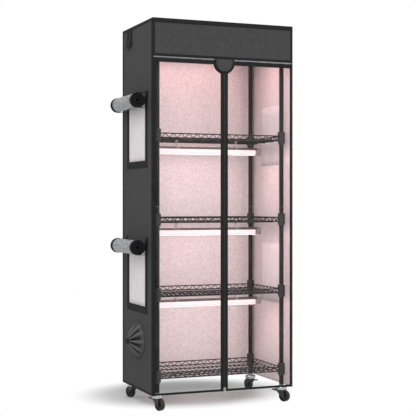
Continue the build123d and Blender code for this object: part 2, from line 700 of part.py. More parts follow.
def make_windows():
    """Window mesh and borders on both walls, rolled flaps on the left and hanging ones on the right."""
    left = Plane(origin=(-SIDE, 0, 0), x_dir=(-1, 0, 0), z_dir=(0, 1, 0))
    roll_section = make_roll_section()
    tie_section = make_tie_section()
    meshes = {-1: [], 1: []}
    borders = []
    ties = []
    for name, sill in SILLS.items():
        seam = sill + WINDOW_HEIGHT + WINDOW_BORDER
        lap = WINDOW_WIDTH + 2 * MESH_LAP
        mesh = rounded_opening(lap, WINDOW_HEIGHT + 2 * MESH_LAP, WINDOW_CORNER, WINDOW_Y, sill - MESH_LAP)
        frame = rounded_opening(
            WINDOW_WIDTH + 2 * WINDOW_BORDER,
            WINDOW_HEIGHT + 2 * WINDOW_BORDER,
            WINDOW_CORNER,
            WINDOW_Y,
            sill - WINDOW_BORDER,
        )
        frame -= rounded_opening(WINDOW_WIDTH, WINDOW_HEIGHT, WINDOW_CORNER, WINDOW_Y, sill)
        for side in (-1, 1):
            inside = Pos(side * (SIDE - FABRIC - MESH / 2), 0, 0)
            outside = Pos(side * (SIDE + BINDING / 2), 0, 0)
            meshes[side].append(inside * extrude(mesh, MESH / 2, both=True))
            borders.append(outside * extrude(frame, BINDING / 2, both=True))
        axis = Pos(0, WINDOW_Y, seam + FLAP + SEAT_GAP - ROLL_RADIUS)
        save(f"left_flap_roll_{name}", axis * extrude(left * roll_section, FLAP_WIDTH / 2, both=True))
        tie = extrude(left * tie_section, STRAP_WIDTH / 2, both=True)
        tie_y = (FLAP_WIDTH - STRAP_WIDTH) / 2
        ties += [axis * Pos(0, y, 0) * tie for y in (-tie_y, tie_y)]
        hinge = Pos(SIDE + BINDING + SEAT_GAP + SEAM_BEAD / 2, WINDOW_Y, seam)
        save(f"right_flap_{name}", hinge * make_hanging_flap(FLAP_WIDTH, FLAP_LENGTH, FLAP))
    save("left_window_meshes", *meshes[-1])
    save("right_window_meshes", *meshes[1])
    save("window_borders", *borders)
    save("flap_ties", *ties)


def duct_ring(out, radius, depth):
    """A pleated ring of the duct sleeve, at a distance from the wall."""
    count = 2 * DUCT_FOLDS
    points = []
    for i in range(count):
        reach = radius - depth * (i % 2)
        turn = radians(360 * i / count)
        points.append((reach * cos(turn), reach * sin(turn)))
    return Plane(origin=(-out, 0, 0), x_dir=(0, 1, 0), z_dir=(-1, 0, 0)) * Polygon(*points)


def make_duct():
    """Duct sleeve, drawn together into a neck with its folds, on a flat sewn flange."""
    radius = DUCT_DIAMETER / 2
    neck = DUCT_NECK / 2
    shoulder = radius - DUCT_FOLD_DEPTH / 2
    bag = loft(
        [
            duct_ring(BINDING, radius, 0),
            duct_ring(DUCT_SHOULDER, shoulder, DUCT_FOLD_DEPTH),
            duct_ring(DUCT_REACH, neck, DUCT_FOLD_DEPTH / 2),
        ],
        ruled=True,
    )
    hollow = loft(
        [
            duct_ring(0, radius - 2 * DUCT_WALL, 0),
            duct_ring(DUCT_SHOULDER, shoulder - 2 * DUCT_WALL, DUCT_FOLD_DEPTH),
            duct_ring(DUCT_REACH - DUCT_WALL, neck - 2 * DUCT_WALL, DUCT_FOLD_DEPTH / 2),
        ],
        ruled=True,
    )
    flange = Pos(-BINDING / 2, 0, 0) * rod_x(DUCT_DIAMETER + 2 * DUCT_FLANGE, BINDING)
    save("duct_sleeve", Pos(-SIDE, DUCT_Y, DUCT_Z) * (bag + flange - hollow))


def make_cable_flap():
    drop = COVER_TOP - BINDING_WIDTH - SEAT_GAP - SEAM_BEAD / 2
    hinge = Pos(-SIDE - SEAT_GAP - SEAM_BEAD / 2, CABLE_Y, drop) * Rot(0, CABLE_FLAP_TILT, 0)
    save("cable_flap", hinge * make_hanging_flap(CABLE_FLAP_WIDTH, CABLE_FLAP_LENGTH, FLAP))


def half_round(grow):
    """The half-round tab's outline from its seam down, in the XZ plane."""
    radius = TAB_WIDTH / 2 + grow
    straight = TAB_LENGTH - TAB_WIDTH / 2
    body = Pos(0, VALANCE_BOTTOM - straight / 2) * Rectangle(2 * radius, straight)
    return Plane.XZ * (body + Pos(0, VALANCE_BOTTOM - straight) * Circle(radius))


def make_tab():
    upper = block(-SIDE, SIDE, -2 * FACE, 0, TAB_Z, COVER_TOP)
    tab = Pos(0, TAB_Y, 0) * extrude(half_round(0), TAB / 2, both=True) - upper
    tab += Pos(0, TAB_Y, TAB_Z) * rod_x(SEAM_BEAD, TAB_WIDTH)
    save("door_tab", tab)


def make_leaf():
    """Left leaf: a binding frame with half of the zip, and the film behind it, clear of the tab."""
    width = HINGE_X - LEAF_GAP / 2
    height = LEAF_TOP - LEAF_BOTTOM
    outline = Pos(-HINGE_X + width / 2, LEAF_BOTTOM + height / 2) * Rectangle(width, height)
    pane_width = width - LEAF_JAMB - ZIP_TAPE
    pane_height = height - LEAF_TOP_BAND - LEAF_BOTTOM_BAND
    pane_x = -HINGE_X + LEAF_JAMB + pane_width / 2
    pane_z = LEAF_BOTTOM + LEAF_BOTTOM_BAND + pane_height / 2
    pane = Pos(pane_x, pane_z) * RectangleRounded(pane_width, pane_height, LEAF_CORNER)
    notch = extrude(half_round(TAB_CLEARANCE), 2 * FACE, both=True)
    frame = Pos(0, HINGE_Y, 0) * extrude(Plane.XZ * (outline - pane), LEAF_FRAME / 2, both=True)
    frame += Pos(-HINGE_X, HINGE_Y, 0) * rod_z(LEAF_FRAME, LEAF_BOTTOM, LEAF_TOP)
    coil_top = VALANCE_BOTTOM - TAB_LENGTH
    edge = -LEAF_GAP / 2
    frame += block(edge - ZIP_COIL, edge, COIL_FRONT, LEAF_FRONT, LEAF_BOTTOM, coil_top)
    film = Pos(0, LEAF_BACK + FILM / 2, 0) * extrude(Plane.XZ * outline, FILM / 2, both=True)
    return frame - notch, film - notch


def make_slider():
    """Zip slider over both coils, with lips beside them and ears that hold the pull's pin."""
    half = SLIDER_WIDTH / 2
    top = LEAF_BOTTOM + SLIDER_HEIGHT
    back = COIL_FRONT - SEAT_GAP
    lip_back = LEAF_FRONT - SEAT_GAP
    ear_inner = PULL_KNUCKLE / 2 + SEAT_GAP
    ear_outer = ear_inner + SLIDER_LIP
    ear_front = PIVOT_Y - PULL_PIN
    slider = block(-half, half, SLIDER_FRONT, back, LEAF_BOTTOM, top)
    slider = fillet(slider.edges().filter_by(Axis.Y), SLIDER_CORNER)
    lip_z0 = LEAF_BOTTOM + SLIDER_CORNER
    lip_z1 = top - SLIDER_CORNER
    for side in (-1, 1):
        lip_x = side * (half - SLIDER_LIP / 2)
        lip = Box(SLIDER_LIP, lip_back - back, lip_z1 - lip_z0)
        slider += Pos(lip_x, (lip_back + back) / 2, (lip_z0 + lip_z1) / 2) * lip
        ear_x = side * (ear_inner + ear_outer) / 2
        ear = Box(SLIDER_LIP, SLIDER_FRONT - ear_front, 2 * PULL_PIN)
        slider += Pos(ear_x, (SLIDER_FRONT + ear_front) / 2, PIVOT_Z) * ear
    slider += Pos(0, PIVOT_Y, PIVOT_Z) * rod_x(PULL_PIN, 2 * ear_outer)
    save("zip_slider", slider)


def make_pull():
    """Zip pull: a knuckle on the slider's pin and a flat rounded blade."""
    neck = 2 * PULL_PIN + SEAT_GAP
    blade_length = PULL_LENGTH - neck
    blade = Pos(0, -neck - blade_length / 2) * RectangleRounded(PULL_WIDTH, blade_length, PULL_CORNER)
    blade += Pos(0, -neck / 2 - PULL_PIN / 2) * Rectangle(PULL_KNUCKLE, neck)
    pull = extrude(Plane.XZ * blade, PULL / 2, both=True)
    pull += rod_x(2 * PULL_PIN, PULL_KNUCKLE)
    pull -= rod_x(PULL_PIN + 2 * RUNNING, 2 * PULL_KNUCKLE)
    save("zip_pull", Pos(0, PIVOT_Y, PIVOT_Z) * pull)


def make_doors():
    """Two mirrored leaves. The right one is cut back at its foot, where the closed slider parks."""
    frame, film = make_leaf()
    save("door_left_frame", frame)
    save("door_left_film", film)
    park_x = SLIDER_WIDTH / 2 + TAB_CLEARANCE
    park_top = LEAF_BOTTOM + SLIDER_HEIGHT + TAB_CLEARANCE
    park = block(-park_x, park_x, -2 * FACE, 0, 0, park_top)
    save("door_right_frame", mirror(frame, about=Plane.YZ) - park)
    save("door_right_film", mirror(film, about=Plane.YZ) - park)
    make_slider()
    make_pull()


os.makedirs("parts", exist_ok=True)
make_posts()
make_shelves()
make_lights()
make_casters()
make_cover()
make_windows()
make_duct()
make_cable_flap()
make_tab()
make_doors()
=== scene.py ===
import bmesh
import bpy
import json
import math
from mathutils import Matrix, Vector, noise
from mathutils.geometry import delaunay_2d_cdt
from mathutils.kdtree import KDTree

# Looks of the indoor greenhouse: cloth cover, rolled flaps, film doors, zips, materials, light and camera.
# Metres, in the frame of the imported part: +Z is up and the front faces -Y.
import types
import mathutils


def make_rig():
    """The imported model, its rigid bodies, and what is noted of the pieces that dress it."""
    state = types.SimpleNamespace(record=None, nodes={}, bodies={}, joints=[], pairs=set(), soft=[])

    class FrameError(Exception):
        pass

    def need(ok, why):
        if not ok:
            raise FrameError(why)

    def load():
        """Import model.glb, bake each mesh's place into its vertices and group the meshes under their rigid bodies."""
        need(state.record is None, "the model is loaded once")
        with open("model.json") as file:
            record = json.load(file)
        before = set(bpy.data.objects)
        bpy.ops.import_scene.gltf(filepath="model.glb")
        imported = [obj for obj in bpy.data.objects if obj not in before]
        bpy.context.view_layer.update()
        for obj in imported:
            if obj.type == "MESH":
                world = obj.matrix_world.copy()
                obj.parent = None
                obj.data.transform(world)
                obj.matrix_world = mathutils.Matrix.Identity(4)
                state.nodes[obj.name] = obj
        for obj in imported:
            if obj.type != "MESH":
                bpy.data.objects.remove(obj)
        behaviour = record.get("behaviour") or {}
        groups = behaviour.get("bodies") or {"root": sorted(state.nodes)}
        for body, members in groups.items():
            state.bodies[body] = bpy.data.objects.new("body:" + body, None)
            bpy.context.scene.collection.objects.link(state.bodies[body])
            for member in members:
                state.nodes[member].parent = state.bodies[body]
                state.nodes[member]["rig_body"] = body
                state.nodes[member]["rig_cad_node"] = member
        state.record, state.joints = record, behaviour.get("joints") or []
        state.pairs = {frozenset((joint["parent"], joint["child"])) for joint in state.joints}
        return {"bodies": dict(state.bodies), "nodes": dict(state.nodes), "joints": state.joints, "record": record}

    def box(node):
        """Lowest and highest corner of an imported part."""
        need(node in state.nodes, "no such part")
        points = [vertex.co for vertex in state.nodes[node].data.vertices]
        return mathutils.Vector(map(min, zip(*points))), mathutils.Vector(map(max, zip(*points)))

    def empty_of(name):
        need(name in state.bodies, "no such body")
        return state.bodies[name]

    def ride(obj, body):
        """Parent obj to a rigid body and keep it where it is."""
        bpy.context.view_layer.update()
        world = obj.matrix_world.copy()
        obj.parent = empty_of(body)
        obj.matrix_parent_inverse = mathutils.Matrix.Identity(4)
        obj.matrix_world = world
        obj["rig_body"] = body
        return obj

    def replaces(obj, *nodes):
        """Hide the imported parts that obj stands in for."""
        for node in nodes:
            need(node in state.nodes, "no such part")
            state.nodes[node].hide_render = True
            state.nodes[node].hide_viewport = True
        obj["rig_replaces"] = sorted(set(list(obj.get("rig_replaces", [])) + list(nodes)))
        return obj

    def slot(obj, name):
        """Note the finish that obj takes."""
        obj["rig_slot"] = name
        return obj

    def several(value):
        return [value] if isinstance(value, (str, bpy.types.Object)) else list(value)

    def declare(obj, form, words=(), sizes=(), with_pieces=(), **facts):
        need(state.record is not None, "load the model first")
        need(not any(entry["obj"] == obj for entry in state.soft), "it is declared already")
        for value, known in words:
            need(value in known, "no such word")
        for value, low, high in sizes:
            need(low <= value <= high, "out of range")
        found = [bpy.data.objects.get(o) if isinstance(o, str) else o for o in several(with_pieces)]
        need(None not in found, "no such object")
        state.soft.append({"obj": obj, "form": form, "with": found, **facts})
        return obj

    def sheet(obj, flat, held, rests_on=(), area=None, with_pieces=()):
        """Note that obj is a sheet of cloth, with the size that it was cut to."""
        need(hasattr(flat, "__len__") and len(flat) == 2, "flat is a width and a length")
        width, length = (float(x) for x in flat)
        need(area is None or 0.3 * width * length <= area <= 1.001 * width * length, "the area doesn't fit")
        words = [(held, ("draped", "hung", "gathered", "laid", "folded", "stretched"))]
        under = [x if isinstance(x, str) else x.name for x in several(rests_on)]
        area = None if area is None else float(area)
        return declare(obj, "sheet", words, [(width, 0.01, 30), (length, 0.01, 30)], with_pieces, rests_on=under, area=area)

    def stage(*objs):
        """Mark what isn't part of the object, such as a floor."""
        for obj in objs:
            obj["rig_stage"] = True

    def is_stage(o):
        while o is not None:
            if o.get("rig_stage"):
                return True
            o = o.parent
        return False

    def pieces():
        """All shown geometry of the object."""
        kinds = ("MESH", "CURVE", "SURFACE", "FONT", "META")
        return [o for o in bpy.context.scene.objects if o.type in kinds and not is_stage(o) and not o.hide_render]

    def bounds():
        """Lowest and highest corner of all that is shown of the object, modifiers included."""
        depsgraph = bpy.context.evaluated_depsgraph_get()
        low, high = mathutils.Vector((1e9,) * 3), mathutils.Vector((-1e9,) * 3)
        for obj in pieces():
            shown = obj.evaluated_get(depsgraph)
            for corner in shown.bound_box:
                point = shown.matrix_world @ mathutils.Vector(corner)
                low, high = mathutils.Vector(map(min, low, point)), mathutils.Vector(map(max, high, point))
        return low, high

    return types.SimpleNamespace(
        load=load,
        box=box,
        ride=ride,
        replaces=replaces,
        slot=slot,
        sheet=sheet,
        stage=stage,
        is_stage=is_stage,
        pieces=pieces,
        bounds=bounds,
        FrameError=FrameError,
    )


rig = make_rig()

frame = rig.load()
cad_low, cad_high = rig.bounds()
ROOT = "rack_and_cover"
X = Vector((1, 0, 0))
Y = Vector((0, 1, 0))
Z = Vector((0, 0, 1))

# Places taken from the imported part
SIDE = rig.box("cover_right")[1].x
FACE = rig.box("cover_back")[1].y
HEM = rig.box("cover_left")[0].z
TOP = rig.box("cover_roof")[1].z
VALANCE_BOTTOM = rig.box("cover_valance")[0].z
FILM_LOW, FILM_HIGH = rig.box("door_left_film")
LEAF_BOTTOM = FILM_LOW.z
LEAF_TOP = FILM_HIGH.z
LEAF_OUTER = -FILM_LOW.x
FILM_FRONT = FILM_LOW.y
FILM_BACK = FILM_HIGH.y
TAB_LOW, TAB_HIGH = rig.box("door_tab")

# Cover
FABRIC = 0.001
WEAVE = 0.0012
CLOTH_STEP = 0.012
SLACK = 0.0016
SLACK_LENGTH = 0.13
SLACK_FADE = 0.05
ROOF_SAG = 0.004
TAPE = 0.0008
# thinner where tapes cross, so that their faces don't coincide
MIDDLE_TAPE = 0.00070
UNDER_TAPE = 0.00060
TAPE_WIDTH = 0.008
# height of a tape's rounded shoulders, as a share of its own
TAPE_ROUND = 0.7
WALL_EDGE_TAPE = 0.016
ROOF_FRONT_TAPE = 0.018
ROOF_SIDE_TAPE = 0.012
DOOR_POST_TAPE = 0.0035
VALANCE_SIDE_TAPE = 0.010
VALANCE_HEM = 0.009
CREASE = 35

# Stitches
STITCH_PITCH = 0.005
STITCH_LENGTH = 0.0036
STITCH_HALF_WIDTH = 0.0003
STITCH_HEIGHT = 0.0003
STITCH_SLOPE = 0.25
STITCH_INSET = 0.0022

# Windows, flaps and rolls
WINDOW_WIDTH = 0.212
WINDOW_HEIGHT = 0.244
WINDOW_Y = 0.002
SILLS = {"upper": 1.024, "lower": 0.420}
BORDER = 0.030
BORDER_RISE = 0.0012
BORDER_BEVEL = 0.001
NET = 0.0006
NET_LAP = 0.008
NET_WAVER = 0.0006
NET_WAVES = 7.0
FLAP = 0.0014
FLAP_WIDTH = 0.284
FLAP_LENGTH = 0.300
FLAP_STEP = 0.010
FLAP_TAPE = 0.006
FLAP_EDGE = 0.025
FLAP_SLACK = 0.001
ROLL_RADIUS = 0.0295
ROLL_OUT = 0.042
ROLL_BEND = 0.0015
ROLL_PITCH = 0.0088
ROLL_HALF_TURNS = 5
ROLL_HEM = 0.010
ROLL_UNEVEN = 0.0006
ROLL_WAVES = (60, 60, 14)
ROLL_STEPS = 24
ROLL_BAND = 0.0052
STRAP = 0.0012
STRAP_WIDTH = 0.012
STRAP_START = 0.0023
STRAP_STEPS = 32
SEAM_BEAD = 0.0024
SEAT_GAP = 0.0003

# Duct port and cable port
DUCT_Y = -0.022
DUCT_Z = 0.272
DUCT_HOLE = 0.060
DUCT_RADIUS = 0.070
DUCT_FLANGE = 0.078
DUCT_REACH = 0.052
DUCT_NECK = 0.011
DUCT_BAND = 0.0016
DUCT_BAND_BACK = 0.0025
DUCT_BAND_GAP = 0.0002
DUCT_TRIM_STEPS = 72
DUCT_LENGTH = 0.11
DUCT_GATHERED_SHARE = 0.65
# reach from the wall, radius, depth of the folds
DUCT_STATIONS = [
    (0.0008, 0.072, 0.0), (0.004, 0.0715, 0.001), (0.009, 0.070, 0.006), (0.015, 0.067, 0.015),
    (0.021, 0.062, 0.024), (0.027, 0.054, 0.030), (0.033, 0.044, 0.030), (0.039, 0.033, 0.024),
    (0.044, 0.022, 0.016), (0.048, 0.013, 0.008), (0.051, 0.011, 0.006), (0.054, 0.014, 0.007),
    (0.057, 0.015, 0.008), (0.056, 0.012, 0.006), (0.052, 0.006, 0.002), (0.050, 0.001, 0.0),
]
DUCT_FOLDS = 11
DUCT_FOLD_STEPS = 18
DUCT_FOLD_WIDTH = 0.040
# how far the folds wander, how sharp their creases are, and how much their depth differs
DUCT_WANDER = 0.9
DUCT_SHARPNESS = 0.95
DUCT_UNEVEN = 0.4
CABLE_Y = 0.098
CABLE_Z = 1.555
CABLE_HOLE = (0.040, 0.026)
CABLE_FLAP = (0.060, 0.074)
CABLE_HINGE = Vector((-0.3165, CABLE_Y, 1.5905))
CABLE_TILT = math.radians(4)
CABLE_CURL = 0.0015

# Door leaves and zips
LEAF_TAPE = 0.0024
JAMB = 0.007
TOP_BAND = 0.016
BOTTOM_BAND = 0.009
ZIP_TAPE = 0.016
ZIP_COIL = 0.0032
TOP_COIL = 0.0050
TOP_TOOTH = 0.55 * TOP_COIL
TOP_ZIP_EDGE = 0.0003
LEAF_GAP = 0.0002
TAB_RADIUS = 0.044
TAB_STRAIGHT = 0.015
TAB_CENTRE = VALANCE_BOTTOM - TAB_STRAIGHT
TAB_CLEARANCE = 0.001
TAB_TAPE = [(-0.0004, -0.0009), (0.008, -0.0009), (0.008, 0.0012), (0.004, 0.0017), (-0.0004, 0.0010)]
TAB_CLOTH = 0.0012
TAB_DOME = 0.0012
TAB_DOME_EDGE = 0.02
TAB_STEP = 0.004
BACKING_LAP = 0.004
BACKING_STEP = 0.006
NOTCH = TAB_RADIUS + TAB_CLEARANCE
NOTCH_RIM = 0.0025
NOTCH_RISE = 0.8 * LEAF_TAPE
NOTCH_TURN = 70
PARK = (0.0065, 0.082)
TOOTH_PITCH = 0.0024
TOOTH_HEIGHT = 0.0010
TOOTH_PROFILE = [(-0.35, 0), (0.35, 0), (0.22, 1), (-0.22, 1)]
FILM_STEP = 0.016
FILM_RIPPLE = 0.0007
FILM_RIPPLE_WIDTH = 0.05
FILM_RIPPLE_HEIGHT = 0.22

# Reach of a shelf's collars from the middle of their post, and where their colour ends
COLLAR_RADIUS = 0.0157
COLLAR_END = COLLAR_RADIUS + 0.0005

# Heights between which the caster forks turn from dark to bright
FORK_DARK = 0.0496
FORK_BRIGHT = 0.0502

# Light that the four bars give
DARK_END = 0.010
DARK_FADE = 0.002
BAY_LAMP_DROP = 0.003
BAY_LAMP_AIMS = {"back": (Vector((0, 0.2, -0.98)), 0.9), "front": (Vector((0, -0.8, -0.6)), 0.8)}
BAY_LAMP_POWERS = (0.46, 0.50, 0.56, 0.94)
BAY_LAMP_COLOUR = (1.0, 0.67, 0.69)

# Studio: lamps by place and power, world, floor with a painted shadow, a grey oval that fades to white, and camera
STUDIO_LAMPS = {"key": ((-2.2, -3.2, 3.2), 90), "fill": ((2.8, -2.6, 2.4), 45)}
STUDIO_LAMP_SIZE = 2.4
WORLD_LIGHT = 0.75
FLOOR_REACH = 30.0
FLOOR_AND_PAINTED_SHADOW_GREY = 0.62
PAINTED_SHADOW_SHIFT = (0.02, -0.25, 0)
PAINTED_SHADOW_SCALE = (1, 1.25, 1)
PAINTED_SHADOW_INNER = 0.29
PAINTED_SHADOW_OUTER = 0.54
CAMERA_PLACE = (-1.763, -4.378, 0.841)
CAMERA_TILT = math.radians(90 - 0.166)
CAMERA_TURN = math.radians(-22.02)
CAMERA_LENS = 94.4
CAMERA_SENSOR = 36


def srgb(red, green, blue):
    """A colour as a screen shows it, 0 to 255, in the linear numbers that shaders take."""
    return tuple(((c / 255 + 0.055) / 1.055) ** 2.4 for c in (red, green, blue))


def grey(level, blue=1):
    """A screen's grey with a little more blue."""
    return srgb(level, level, level + blue)


def add_node(tree, kind, *values, **named):
    """A new node with its first inputs set to values. Of the named ones, lower case means a property and the
    rest are inputs. An input takes a constant or another node's output."""
    node = tree.nodes.new(kind)
    inputs = dict(enumerate(values))
    for name, value in named.items():
        if name.islower():
            setattr(node, name, value)
        else:
            inputs[name.replace("_", " ")] = value
    for name, value in inputs.items():
        if isinstance(value, bpy.types.NodeSocket):
            tree.links.new(value, node.inputs[name])
        else:
            node.inputs[name].default_value = value
    return node


class Look:
    """A procedural material: one shader, and helpers that put textures in front of it. Its space is UV, which is
    in metres over cloth, or Object, which is the frame's own."""

    def __init__(self, name, space, colour, roughness, **sockets):
        self.material = bpy.data.materials.new(name)
        self.material.use_nodes = True
        self.tree = self.material.node_tree
        self.shader = self.tree.nodes["Principled BSDF"]
        self.space = space
        self.normal = None
        sockets.update(Base_Color=(*colour, 1), Roughness=roughness)
        for socket, value in sockets.items():
            self.shader.inputs[socket.replace("_", " ")].default_value = value

    def node(self, kind, *values, **named):
        return add_node(self.tree, kind, *values, **named)

    def feed(self, socket, output):
        """Drive one of the shader's sockets."""
        self.tree.links.new(output, self.shader.inputs[socket])

    def where(self, stretch=(1, 1, 1), shift=(0, 0, 0)):
        source = self.node("ShaderNodeTexCoord").outputs[self.space]
        return self.node("ShaderNodeMapping", Vector=source, Location=shift, Scale=stretch).outputs["Vector"]

    def along(self, axis):
        return self.node("ShaderNodeSeparateXYZ", Vector=self.where()).outputs[axis]

    def noise(self, size, detail=3.0, stretch=(1, 1, 1)):
        """Soft noise with blots of about a given size."""
        where = self.where(stretch)
        return self.node("ShaderNodeTexNoise", Vector=where, Scale=1 / size, Detail=detail).outputs["Fac"]

    def cells(self, size, output="Distance"):
        """Facets of about a given size: the distance from their middles, or a random colour each."""
        return self.node("ShaderNodeTexVoronoi", Vector=self.where(), Scale=1 / size).outputs[output]

    def waves(self, axis, period):
        scale = math.pi / (10 * period)
        node = self.node("ShaderNodeTexWave", Vector=self.where(), Scale=scale, bands_direction=axis)
        return node.outputs["Fac"]

    def math(self, operation, *values):
        return self.node("ShaderNodeMath", *values, operation=operation).outputs["Value"]

    def weave(self, period):
        """Plain weave: threads both ways."""
        return self.math("MULTIPLY", self.waves("X", period), self.waves("Y", period))

    def ranged(self, value, start, end, low=0.0, high=1.0, kind="LINEAR"):
        """Goes from low to high while the value goes from start to end."""
        limits = {"From_Min": start, "From_Max": end, "To_Min": low, "To_Max": high}
        return self.node("ShaderNodeMapRange", Value=value, interpolation_type=kind, **limits).outputs["Result"]

    def ramp(self, factor, dark, light, low=0.0, high=1.0):
        """Colour between two shades."""
        node = self.node("ShaderNodeValToRGB", Fac=factor)
        for element, place, colour in zip(node.color_ramp.elements, (low, high), (dark, light)):
            element.position = place
            element.color = (*colour, 1)
        return node.outputs["Color"]

    def shade(self, factor, dark, light, low=0.3, high=0.7):
        self.feed("Base Color", self.ramp(factor, dark, light, low, high))

    def gloss(self, factor, low, high):
        self.feed("Roughness", self.ranged(factor, 0.0, 1.0, low, high))

    def bump(self, height, depth, strength=1.0):
        """Relief of a texture, on top of any earlier one."""
        node = self.node("ShaderNodeBump", Height=height, Distance=depth, Strength=strength)
        if self.normal:
            self.tree.links.new(self.normal, node.inputs["Normal"])
        self.normal = node.outputs["Normal"]
        self.feed("Normal", self.normal)


def make_fabric():
    """Black coated polyester: plain weave, faint mottling and a soft sheen."""
    look = Look("black_cloth", "UV", grey(62), 0.85, Specular_IOR_Level=0.15, Sheen_Weight=0.03)
    look.shade(look.noise(0.02, 6.0), grey(58), grey(66))
    look.gloss(look.noise(0.08), 0.78, 0.92)
    look.bump(look.noise(0.02), 0.0008, 0.4)
    look.bump(look.weave(WEAVE), 0.00015)
    return look


def make_gathered_cloth_painted_light():
    """The same cloth drawn into folds: V of its UVs runs one fold width for each fold. The creases get painted shade
    and the ridges a painted highlight, and the painted shade fades out near the flange.
    """
    look = Look("gathered_cloth", "UV", grey(62), 0.7, Specular_IOR_Level=0.3)
    flat = look.ranged(look.along("X"), 0.010, 0.026, 0.6, 0.0)
    # Painted shade in the creases and painted highlight on the ridges, by the fold phase in V; near the flange the
    # creases are kept lighter.
    fold = look.math("MAXIMUM", look.waves("Y", DUCT_FOLD_WIDTH), flat)
    look.shade(fold, grey(14), grey(92), 0.05, 1.0)
    look.gloss(look.noise(0.02), 0.6, 0.8)
    look.bump(look.weave(WEAVE), 0.00015)
    return look


def make_lining():
    """Metallised lining: fine embossed facets over soft creases. Its pink tint is painted light of the pink bars, and
    the random shade of each facet is a painted reflection.
    """
    look = Look("silver_lining", "UV", srgb(236, 226, 226), 0.4, Metallic=0.12)
    # Painted reflection: each facet takes a random shade; all the shades carry painted pink light.
    look.shade(look.cells(0.0045, "Color"), srgb(220, 208, 208), srgb(244, 236, 236), 0.1, 0.9)
    look.gloss(look.noise(0.03), 0.32, 0.5)
    look.bump(look.noise(0.05), 0.003, 0.5)
    look.bump(look.cells(0.0045), 0.0005, 0.5)
    return look


def make_turned_lining_painted_shade():
    """The same lining where it is turned outwards, in a darker silver that is painted shade, with painted reflection
    streaks along the roll and creases along it in gloss and relief.
    """
    look = Look("turned_lining_painted_shade", "UV", srgb(138, 139, 142), 0.42, Metallic=0.6)
    stretch = (0.25, 1, 1)
    creases = look.noise(0.02, stretch=stretch)
    # Painted reflection: lighter and darker streaks along the roll.
    look.shade(look.noise(0.012, 4.0, stretch), srgb(108, 109, 112), srgb(166, 167, 170))
    look.gloss(creases, 0.34, 0.5)
    look.bump(creases, 0.0015, 0.5)
    look.bump(look.cells(0.003), 0.0002, 0.5)
    return look


def make_tape():
    """Black grosgrain tape: ribs across, a little wear in the shade."""
    look = Look("black_tape", "UV", grey(28), 0.8, Specular_IOR_Level=0.15)
    look.shade(look.noise(0.012), grey(24), grey(33))
    look.bump(look.waves("X", 0.0014), 0.0002, 0.8)
    return look


def make_net():
    """White-grey window net: threads both ways with clear holes between."""
    look = Look("window_net", "UV", srgb(244, 239, 240), 0.6)
    look.shade(look.noise(0.02, stretch=(1, 0.12, 1)), srgb(236, 230, 232), srgb(250, 246, 247))
    holes = look.weave(0.0011)
    look.feed("Alpha", look.ranged(holes, 0.45, 0.75, 1.0, 0.19))
    look.bump(holes, 0.0002)
    return look


def make_film():
    """Clear film: almost invisible, with faint upright streaks."""
    look = Look("clear_film", "UV", srgb(225, 228, 230), 0.08, Specular_IOR_Level=0.6)
    stretch = (1, 0.15, 1)
    streaks = look.noise(0.03, stretch=stretch)
    look.feed("Alpha", look.ranged(streaks, 0.45, 0.75, 0.002, 0.014))
    look.gloss(streaks, 0.05, 0.14)
    look.bump(look.noise(0.06, stretch=stretch), 0.002, 0.3)
    return look


def make_coat(name, colour, roughness, shades, mottle, gloss=None, grain=None, **sockets):
    """A plain surface in mottled shades. gloss is a size and two limits, grain a size, depth and strength."""
    look = Look(name, "Object", colour, roughness, **sockets)
    look.shade(look.noise(mottle), *shades)
    if gloss:
        look.gloss(look.noise(gloss[0]), *gloss[1:])
    if grain:
        look.bump(look.noise(grain[0]), *grain[1:])
    return look


def make_coil(name, dark, light, metallic):
    return make_coat(name, light, 0.4, (dark, light), 0.006, grain=(0.0008, 0.00005), Metallic=metallic)


def make_paint(name):
    """Black powder coat with a fine orange peel."""
    gloss = (0.02, 0.4, 0.52)
    peel = (0.0016, 0.0001, 0.2)
    return make_coat(name, grey(28), 0.45, (grey(24), grey(33)), 0.05, gloss, peel, Specular_IOR_Level=0.25)


def make_shelf_paint():
    """The same coat on the shelves, with the collars round the posts in a lighter grey."""
    look = make_paint("shelf_powder_coat")
    low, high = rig.box("post_rear_right")
    post = ((low.x + high.x) / 2, (low.y + high.y) / 2, 0)
    quarter = look.node("ShaderNodeVectorMath", look.where((1, 1, 0)), operation="ABSOLUTE").outputs["Vector"]
    away = look.node("ShaderNodeVectorMath", quarter, post, operation="DISTANCE").outputs["Value"]
    look.shade(look.ranged(away, COLLAR_RADIUS, COLLAR_END, 1.0, 0.0), grey(28), grey(52), 0.0, 1.0)
    return look


def make_plastic(name, dark, light, roughness):
    """Moulded plastic with a fine grain."""
    look = make_coat(name, light, roughness, (dark, light), 0.02, (0.01, roughness - 0.06, roughness + 0.08))
    look.bump(look.cells(0.0009), 0.00005, 0.5)
    return look


def make_metal(name, dark, light, roughness, stretch):
    """Brushed or drawn metal: streaks along one axis."""
    look = Look(name, "Object", light, roughness, Metallic=1.0)
    streaks = look.noise(0.004, stretch=stretch)
    look.shade(streaks, dark, light)
    look.gloss(streaks, roughness - 0.08, roughness + 0.1)
    look.bump(streaks, 0.00003)
    return look


def make_zinc(name):
    return make_metal(name, grey(150, 3), grey(190, 3), 0.24, (1, 1, 6))


def make_fork_plate():
    """Plated fork: bright crown over dark legs."""
    look = make_zinc("fork_plate")
    look.shade(look.ranged(look.along("Z"), FORK_DARK, FORK_BRIGHT), grey(66, 2), grey(176, 3), 0.0, 1.0)
    return look


